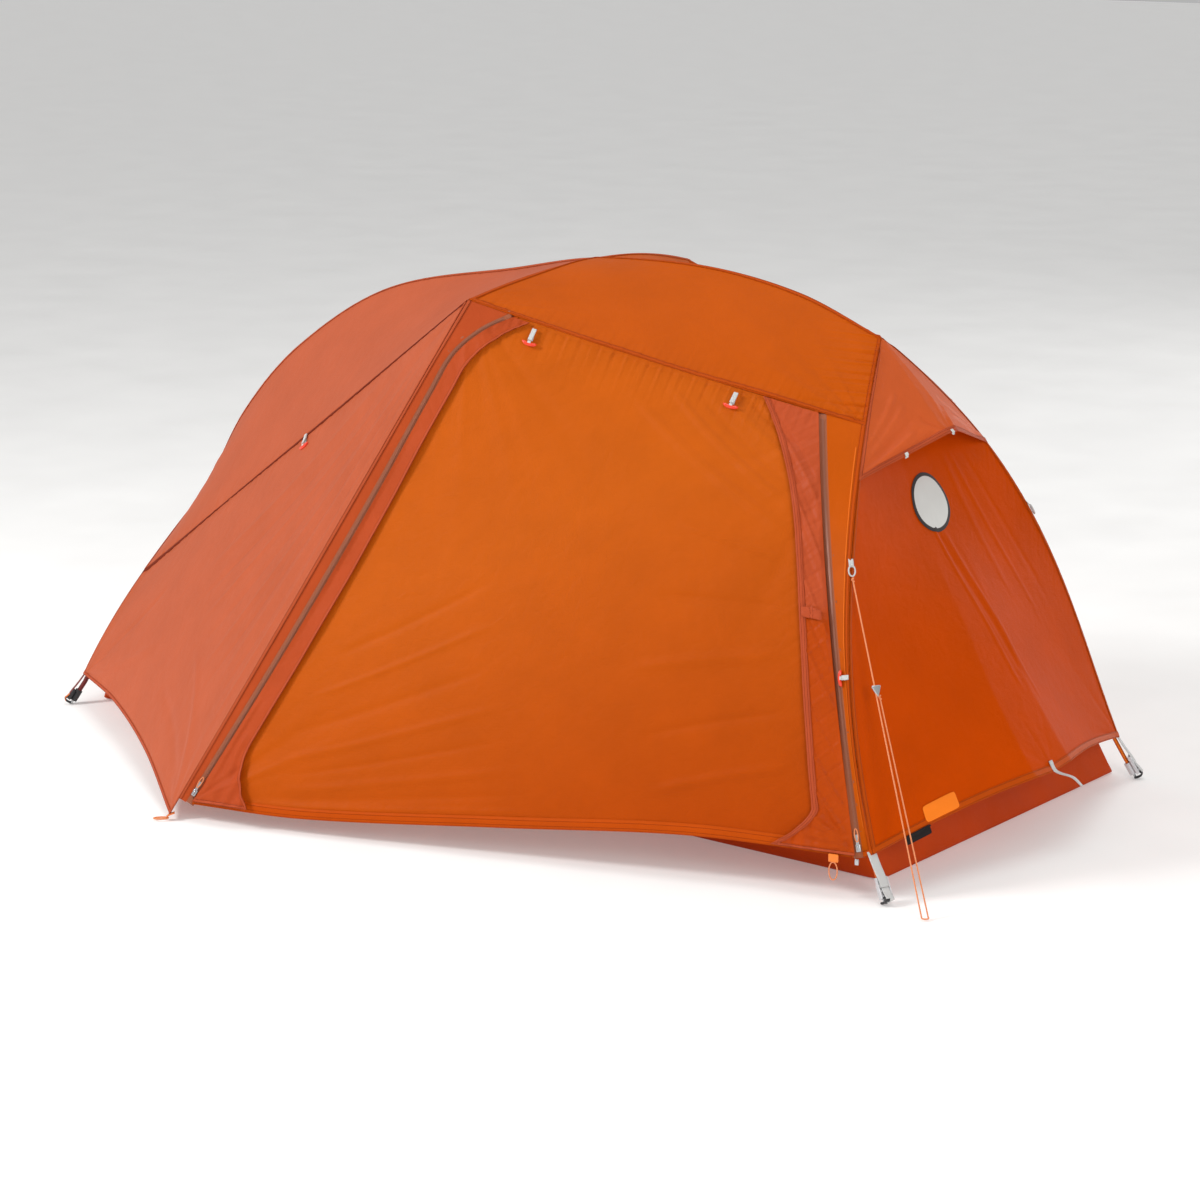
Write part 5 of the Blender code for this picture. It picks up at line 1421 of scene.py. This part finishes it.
def triangle(name, centre, along, across, out, length, width, thick, material):
    """A flat three-sided runner with rounded corners."""
    corners = [(0.55, 0.0), (-0.45, 0.5), (-0.45, -0.5)]
    outline = []
    for k in range(3):
        a, b, c = (np.array(corners[(k + j) % 3]) for j in (-1, 0, 1))
        for t in np.linspace(0, 1, 6):
            start, end = b + (a - b) * 0.22, b + (c - b) * 0.22
            outline.append(start * (1 - t) ** 2 + b * 2 * t * (1 - t) + end * t * t)
    ring = [centre + along * (x * length) + across * (y * width) for x, y in outline]
    half, count = out * thick / 2, len(ring)
    inner = [centre + (p - centre) * 0.82 for p in ring]
    points = [p - half for p in inner] + [p - half * 0.4 for p in ring] + [p + half * 0.4 for p in ring]
    points += [p + half for p in inner]
    faces = [tuple(range(count - 1, -1, -1)), tuple(range(3 * count, 4 * count))]
    faces += ring_faces(4, count)
    made = mesh_object(name, points, faces, material)
    made.data.set_sharp_from_angle(angle=math.radians(40))
    return made


runner = triangle("tensioner_plate", runner_at - guy_side * 0.003, strand, guy_side, runner_out, 0.026, 0.022,
                  0.0052, ALLOY)
stands_for(runner, "line_tensioner", slot="alloy_grey")
for name, at in (("guy_knot_top", guy_top + strand * 0.004), ("guy_knot_end", stop)):
    twist = [at + strand * (0.0012 * k)
             + (guy_side * math.cos(k * 1.1) + runner_out * math.sin(k * 1.1)) * 0.0022
             for k in np.linspace(-4, 4, 40)]
    knot = tube(name, twist, 0.0013, CORD, 8)
    on(knot, "guy_line" if "top" in name else "line_tensioner")
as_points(route)

# ---------------------------------------------------------------- inner tent

TUB_TOP = 0.130
FLOOR_HEAD = [np.array((1.080, -0.415, 0.0)), np.array((1.100, 0.545, 0.0))]
FLOOR_FOOT = [np.array((-1.150, -0.325, 0.0)), np.array((-1.150, 0.350, 0.0))]
DOORWAY_CENTRE = np.array((0.53, 0.40))
DOORWAY_HALF = np.array((0.235, 0.31))
DOORWAY_SQUARENESS = 2.8


def share_at_height(curve, height):
    t = np.linspace(0, 1, 2000)
    return float(t[np.argmax(curve(t)[:, 2] <= height)])


inner_top = inset(ridge, INNER_INSET)
inner_head = inset(head_leg, INNER_INSET)
inner_foot = inset(foot_leg, INNER_INSET)
inner_head = stretch(inner_head, share_at_height(inner_head, TUB_TOP + 0.001), 0)
inner_foot = stretch(inner_foot, share_at_height(inner_foot, TUB_TOP + 0.001), 0)
inner_front = coons(line(inner_foot(0.0), inner_head(0.0)), inner_top, inner_foot, inner_head)
INNER_FOLDS = [
    swell(0.004, 0.30, 111),
    pucker(line(inner_foot(0.0), inner_head(0.0)), 0.0016, 0.030, 0.05, 112),
    fan(inner_head(0.0), (0.5, -0.3, 0.6), 9, 0.003, 0.25, 113, 1.0)]
inner_side = Cloth(inner_front, INNER_FOLDS)


def doorway_edge(angle, clearance=0.0):
    """The doorway's outline in the inner side's own coordinates."""
    x, y = np.cos(angle), np.sin(angle)
    half = DOORWAY_HALF - clearance * np.array((1 / 2.1, 1 / 1.1))
    power = DOORWAY_SQUARENESS
    reach = (np.abs(x / half[0]) ** power + np.abs(y / half[1]) ** power) ** (1 / power)
    return DOORWAY_CENTRE[0] + x / reach, DOORWAY_CENTRE[1] + y / reach


def to_border(angle):
    """The point of the unit square's edge that lies that way from the doorway's middle."""
    x, y = np.cos(angle), np.sin(angle)
    reach = np.minimum(np.where(x > 0, (1 - DOORWAY_CENTRE[0]) / np.maximum(x, 1e-9),
                                DOORWAY_CENTRE[0] / np.maximum(-x, 1e-9)),
                       np.where(y > 0, (1 - DOORWAY_CENTRE[1]) / np.maximum(y, 1e-9),
                                DOORWAY_CENTRE[1] / np.maximum(-y, 1e-9)))
    return DOORWAY_CENTRE[0] + x * reach, DOORWAY_CENTRE[1] + y * reach


def ring_sheet(name, near, far, rings, cloth, material, steps=240, lift=0.0):
    """A sheet between two outlines round the doorway's middle."""
    angle = round_angles(steps)
    share = np.linspace(0, 1, rings)[:, None]
    start, end = near(angle), far(angle)
    u = start[0] + (end[0] - start[0]) * share
    v = start[1] + (end[1] - start[1]) * share
    p = cloth.at(np.clip(u, 0.001, 0.999), np.clip(v, 0.001, 0.999), lift)
    uv = np.stack([p[..., 0], p[..., 2] * 1.15], axis=-1)
    return mesh_object(name, p, ring_faces(rings, steps), material, uv)


def declared_sheet(made):
    area = float(sum(face.area for face in made.data.polygons))
    points = np.array([v.co for v in made.data.vertices])
    size = np.sort(points.max(0) - points.min(0))[::-1]
    wide, tall = float(size[0]), float(math.hypot(size[1], size[2]))
    tall = max(tall, area / wide * 1.001)
    return made


def middle_point(angle):
    return np.full_like(angle, DOORWAY_CENTRE[0]), np.full_like(angle, DOORWAY_CENTRE[1])


front_sheet = ring_sheet("inner_front_cloth", doorway_edge, to_border, 60, inner_side, INNER_CREAM)
stands_for(front_sheet, "inner_front_wall", slot="inner_cream")


def outline_band(name, low, high, material, node, lift):
    """A binding along the doorway; low and high are its clearances from the doorway's edge."""
    angle = round_angles(240)
    middle = np.concatenate([inner_side.at(*doorway_edge(angle, edge), lift) for edge in (low, high)])
    n = normals_of(inner_front, *doorway_edge(angle, 0.0)) * 0.0010
    count = len(angle)
    top, under = middle + np.concatenate([n, n]), middle
    faces = []
    for k in range(count):
        m = (k + 1) % count
        faces += [(k, m, count + m, count + k), (2 * count + k, 3 * count + k, 3 * count + m, 2 * count + m),
                  (k, 2 * count + k, 2 * count + m, m), (count + k, count + m, 3 * count + m, 3 * count + k)]
    run = np.arange(count) * 0.012
    uv = np.concatenate([np.stack([np.full(count, x), run], 1) for x in (-0.005, 0.005, -0.005, 0.005)])
    return on(mesh_object(name, np.concatenate([top, under]), faces, material, uv), node)


door_band = outline_band("inner_doorway_binding", -0.016, -0.003, INNER_EDGE, "inner_front_wall", 0.0006)
declared_sheet(front_sheet)
door_sheet = ring_sheet("inner_door_cloth", middle_point, lambda angle: doorway_edge(angle, 0.004), 40,
                        inner_side, INNER_CREAM)
stands_for(door_sheet, "inner_door", slot="inner_cream")
zip_band = outline_band("inner_door_zip", 0.004, 0.016, ZIP_TAPE, "inner_door", 0.0008)
declared_sheet(door_sheet)
back_grid = panel_grid(Cloth(flip(inner_front), INNER_FOLDS[:1]), 120, 90)
declared_sheet(stands_for(sheet_mesh("inner_back_cloth", back_grid, INNER_CREAM), "inner_back_wall",
                          slot="inner_cream"))
for name, edge, seed in (("inner_head", inner_head, 121), ("inner_foot", inner_foot, 122)):
    end_wall = Cloth(ruled(edge, flip(edge)), [swell(0.003, 0.25, seed)])
    end_sheet = sheet_mesh(name + "_cloth", panel_grid(end_wall, 60, 60), INNER_CREAM)
    declared_sheet(stands_for(end_sheet, name + "_wall", slot="inner_cream"))

tub_rim = [inner_foot(0.0), inner_head(0.0), inner_head(0.0) * MIRROR, inner_foot(0.0) * MIRROR]
tub_bottom = [FLOOR_FOOT[0], FLOOR_HEAD[0], FLOOR_HEAD[1], FLOOR_FOOT[1]]


def rounded_corners(corners, radius, height, steps=40):
    """A four-cornered ring with rounded corners, as evenly many points as for any other ring."""
    ring = []
    for i in range(4):
        before, at, after = (np.array((*corners[(i + k) % 4][:2], height)) for k in (-1, 0, 1))
        start, end = at + unit(before - at) * radius, at + unit(after - at) * radius
        for t in np.linspace(0, 1, 10):
            ring.append(start * (1 - t) ** 2 + at * 2 * t * (1 - t) + end * t * t)
        far = after + unit(at - after) * radius
        ring += [end + (far - end) * t for t in np.linspace(0, 1, steps)[1:-1]]
    return np.array(ring)


def tub_mesh(name, material):
    rings = []
    middle = np.mean([c[:2] for c in tub_bottom], axis=0)
    for share in (0.03, 0.2, 0.4, 0.6, 0.8, 0.93, 0.985):
        corners = [np.array((*(middle + (c[:2] - middle) * share), 0)) for c in tub_bottom]
        rings.append(rounded_corners(corners, 0.02 * share, 0.0008))
    for share, height in ((0.0, 0.004), (0.06, 0.012), (0.15, 0.022), (0.35, 0.047), (0.6, 0.079),
                          (0.8, 0.105), (1.0, 0.130)):
        corners = [np.array((*(low[:2] + (high[:2] - low[:2]) * share), 0))
                   for low, high in zip(tub_bottom, tub_rim)]
        rings.append(rounded_corners(corners, 0.02, height))
    count = len(rings[0])
    p = np.array(rings)
    rng = np.random.default_rng(131)
    along = np.arange(count) / count * 2 * math.pi
    wave = sum(np.sin(along * k + rng.uniform(0, 6.28)) for k in (19, 31, 47, 73)) / 4
    for level in range(8, 13):
        outwards = unit((p[level] - np.array((*middle, 0))) * np.array((1, 1, 0)))
        p[level] += outwards * (0.0022 * wave * math.sin((level - 7) / 6 * math.pi))[:, None]
    faces = [(a, d, c, b) for a, b, c, d in ring_faces(len(rings), count)] + [tuple(range(count))]
    run, depth = run_along(p[-1]), run_along(p[:, 0])
    uv = np.stack(np.broadcast_arrays(run[None, :], depth[:, None]), axis=-1)
    return mesh_object(name, p, faces, material, uv)


tub = stands_for(tub_mesh("bathtub_cloth", FLOOR_RED), "bathtub_floor", slot="floor_red")
rim_points = rounded_corners([np.array((*c[:2], 0)) for c in tub_rim], 0.02, TUB_TOP - 0.002)
rim_tape = on(tube("tub_rim_binding", rim_points, 0.0022, DARK_WEB, 8, cyclic=True), "bathtub_floor")
declared_sheet(tub)


def clip(name, at, way, out, node):
    """A moulded hook on the pole, with the webbing that holds the inner tent up to it."""
    side = unit(np.cross(way, out))
    hook = [at + (out * math.cos(a) + side * math.sin(a)) * 0.0068 for a in np.linspace(-0.5, 4.1, 16)]
    grip = ribbon(name + "_hook", hook, way, 0.011, 0.0020, BLACK)
    tab = curved([at - out * 0.0075, at - out * 0.022, at - out * (INNER_INSET - POLE_INSET + 0.002)], 12)
    strap = ribbon(name + "_tab", tab, way, 0.010, 0.0012, SILVER)
    return on(joined(name, [grip, strap]), node)


for i, at in enumerate((0.08, 0.24, 0.40, 0.56, 0.84, 0.94)):
    clip(f"clip_spine_{i}", spine(at), way_at(spine, at), outward(ridge(at)), "inner_back_wall")
for side, mirror in SIDES:
    for label, leg, shares in (("head", head_pole, (0.18, 0.36, 0.56, 0.74)),
                               ("foot", foot_pole, (0.25, 0.55))):
        for at in shares:
            p = mirror(leg)(at)
            clip(f"clip_{label}_{side}_{int(at * 100)}", p, way_at(mirror(leg), at), outward(p),
                 "inner_back_wall")

# ---------------------------------------------------------------- blank patches on the fly

PATCH_POINTS = 48        # round the outline of a patch


def patch(name, cloth, u, v, wide, tall, material, node, lift=0.0016, squareness=8.0, turn=0.0):
    """A flat sewn-on patch, following the cloth; its outline is a rounded rectangle or an oval."""
    du = np.linalg.norm(cloth.surface(u + 0.01, v) - cloth.surface(u - 0.01, v)) / 0.02
    dv = np.linalg.norm(cloth.surface(u, v + 0.01) - cloth.surface(u, v - 0.01)) / 0.02
    angle = round_angles(PATCH_POINTS)
    reach = (np.abs(np.cos(angle)) ** squareness + np.abs(np.sin(angle)) ** squareness) ** (-1 / squareness)
    share = np.array((0.02, 0.5, 0.93, 1.0))[:, None]
    x = share * reach * np.cos(angle) * wide / 2
    y = share * reach * np.sin(angle) * tall / 2
    x, y = x * math.cos(turn) - y * math.sin(turn), x * math.sin(turn) + y * math.cos(turn)
    crown = np.array((0.0012, 0.0012, 0.0010, 0.0))[:, None]
    p = cloth.at(u + x / du, v + y / dv, lift + crown)
    faces = [tuple(range(PATCH_POINTS - 1, -1, -1))] + ring_faces(len(share), PATCH_POINTS)
    return on(mesh_object(name, p, faces, material, np.stack([x, y], axis=-1)), node)


patch("badge_rim", head_wall, 0.506, 0.762, 0.132, 0.128, BLANK_RIM, "head_wall", 0.0014, 2.0, 0.12)
patch("badge", head_wall, 0.506, 0.762, 0.118, 0.114, BLANK_SILVER, "head_wall", 0.0022, 2.0, 0.12)
patch("label_orange", head_wall, 0.186, 0.030, 0.096, 0.034, BLANK_ORANGE, "head_wall", 0.0016, 12.0)
patch("label_black", head_wall, 0.115, -0.010, 0.070, 0.018, BLANK_BLACK, "head_wall", 0.0034, 12.0)
patch("hood_tab_left", vent_hood, 0.246, 0.006, 0.009, 0.012, BLANK_SILVER, "vent_hood", 0.0030, 12.0)
patch("hood_tab_middle", vent_hood, 0.500, 0.006, 0.009, 0.012, BLANK_SILVER, "vent_hood", 0.0030, 12.0)
patch("flap_tab", right_flap, 0.45, 0.515, 0.044, 0.022, HEM_ORANGE_PAINTED_SHEEN, "storm_flap_right", 0.0050, 6.0)

# The cord loop at the door's zip corner, with its small buckle.
corner_at = door_hem(np.array([0.955, 0.965, 0.975]))
corner_way = unit(corner_at[2] - corner_at[0])
corner_out = unit(np.cross(corner_way, (0, 0, 1)))
corner_down = np.array((0.0, 0.0, -1.0))
corner_buckle = block("door_corner_buckle", corner_at[1] + corner_down * 0.004 + corner_out * 0.008,
                      (corner_way, corner_out, corner_down), (0.020, 0.006, 0.016), 0.002, ORANGE_PLASTIC)
corner_ring = [corner_at[1] + corner_out * 0.009 + corner_down * (0.030 - 0.018 * math.cos(a))
               + corner_way * 0.0085 * math.sin(a) for a in round_angles(30)]
corner_loop = tube("door_corner_cord", corner_ring, 0.0013, CORD, 8, cyclic=True)
corner_clip = block("door_corner_clip", right_zip(0.0) + np.array((-0.004, -0.005, -0.007)),
                    (corner_way, corner_out, corner_down), (0.008, 0.004, 0.012), 0.0012, ALLOY)
on(corner_buckle, "vestibule_door")
on(corner_loop, "vestibule_door")
on(corner_clip, "zip_right")

# ---------------------------------------------------------------- floor, light and camera

WORLD_LIGHT = 0.45
PAPER_LIGHT = 0.20
LIGHTS = (               # name, place, aim, size, watts
    ("key", (-3.4, -4.2, 4.0), (0, -0.2, 0.4), (1.5, 1.5), 255),
    ("top", (0.3, 0.4, 5.0), (0, 0, 0.5), (4.0, 3.0), 66),
    ("fill", (5.4, -3.2, 2.6), (0.4, 0, 0.4), (2.4, 2.4), 120),
    ("rim", (2.2, 7.2, 1.9), (0.9, 0, 0.5), (3.4, 2.6), 110))
CAMERA_AT = (4.2194, -5.669, 2.0289)
CAMERA_TILT = 76.5663    # degrees from straight down
CAMERA_TURN = 36.0664
LENS_MM = 97.06

FLOOR_PAPER = hard("studio_paper", (236, 235, 233), 0.8, 0.0, 3.0)
paper_shader = FLOOR_PAPER.node_tree.nodes["Principled BSDF"]
paper_shader.inputs["Emission Color"].default_value = (1, 1, 1, 1)
paper_shader.inputs["Emission Strength"].default_value = PAPER_LIGHT
floor = mesh_object("studio_floor", [(-30, -30, 0), (30, -30, 0), (30, 30, 0), (-30, 30, 0)], [(0, 1, 2, 3)],
                    FLOOR_PAPER, smooth_faces=False)
floor.location.z = -0.0006


def area_light(name, place, aim, size, power):
    light = bpy.data.lights.new(name, "AREA")
    light.shape = "RECTANGLE"
    light.size, light.size_y = size
    light.energy = power
    lamp = bpy.data.objects.new(name, light)
    lamp.location = place
    lamp.rotation_euler = (Vector(aim) - Vector(place)).to_track_quat("-Z", "Y").to_euler()
    bpy.context.scene.collection.objects.link(lamp)


for light_row in LIGHTS:
    area_light(*light_row)
world = bpy.data.worlds.new("studio")
bpy.context.scene.world = world
world.use_nodes = True
world.node_tree.nodes["Background"].inputs[0].default_value = (1, 1, 1, 1)
world.node_tree.nodes["Background"].inputs[1].default_value = WORLD_LIGHT
bpy.context.scene.view_settings.view_transform = "Standard"

lens = bpy.data.cameras.new("camera")
lens.sensor_width = 36.0
lens.lens = LENS_MM
lens.clip_end = 100.0
camera = bpy.data.objects.new("camera", lens)
camera.location = CAMERA_AT
camera.rotation_euler = (math.radians(CAMERA_TILT), 0.0, math.radians(CAMERA_TURN))
bpy.context.scene.collection.objects.link(camera)
bpy.context.scene.camera = camera
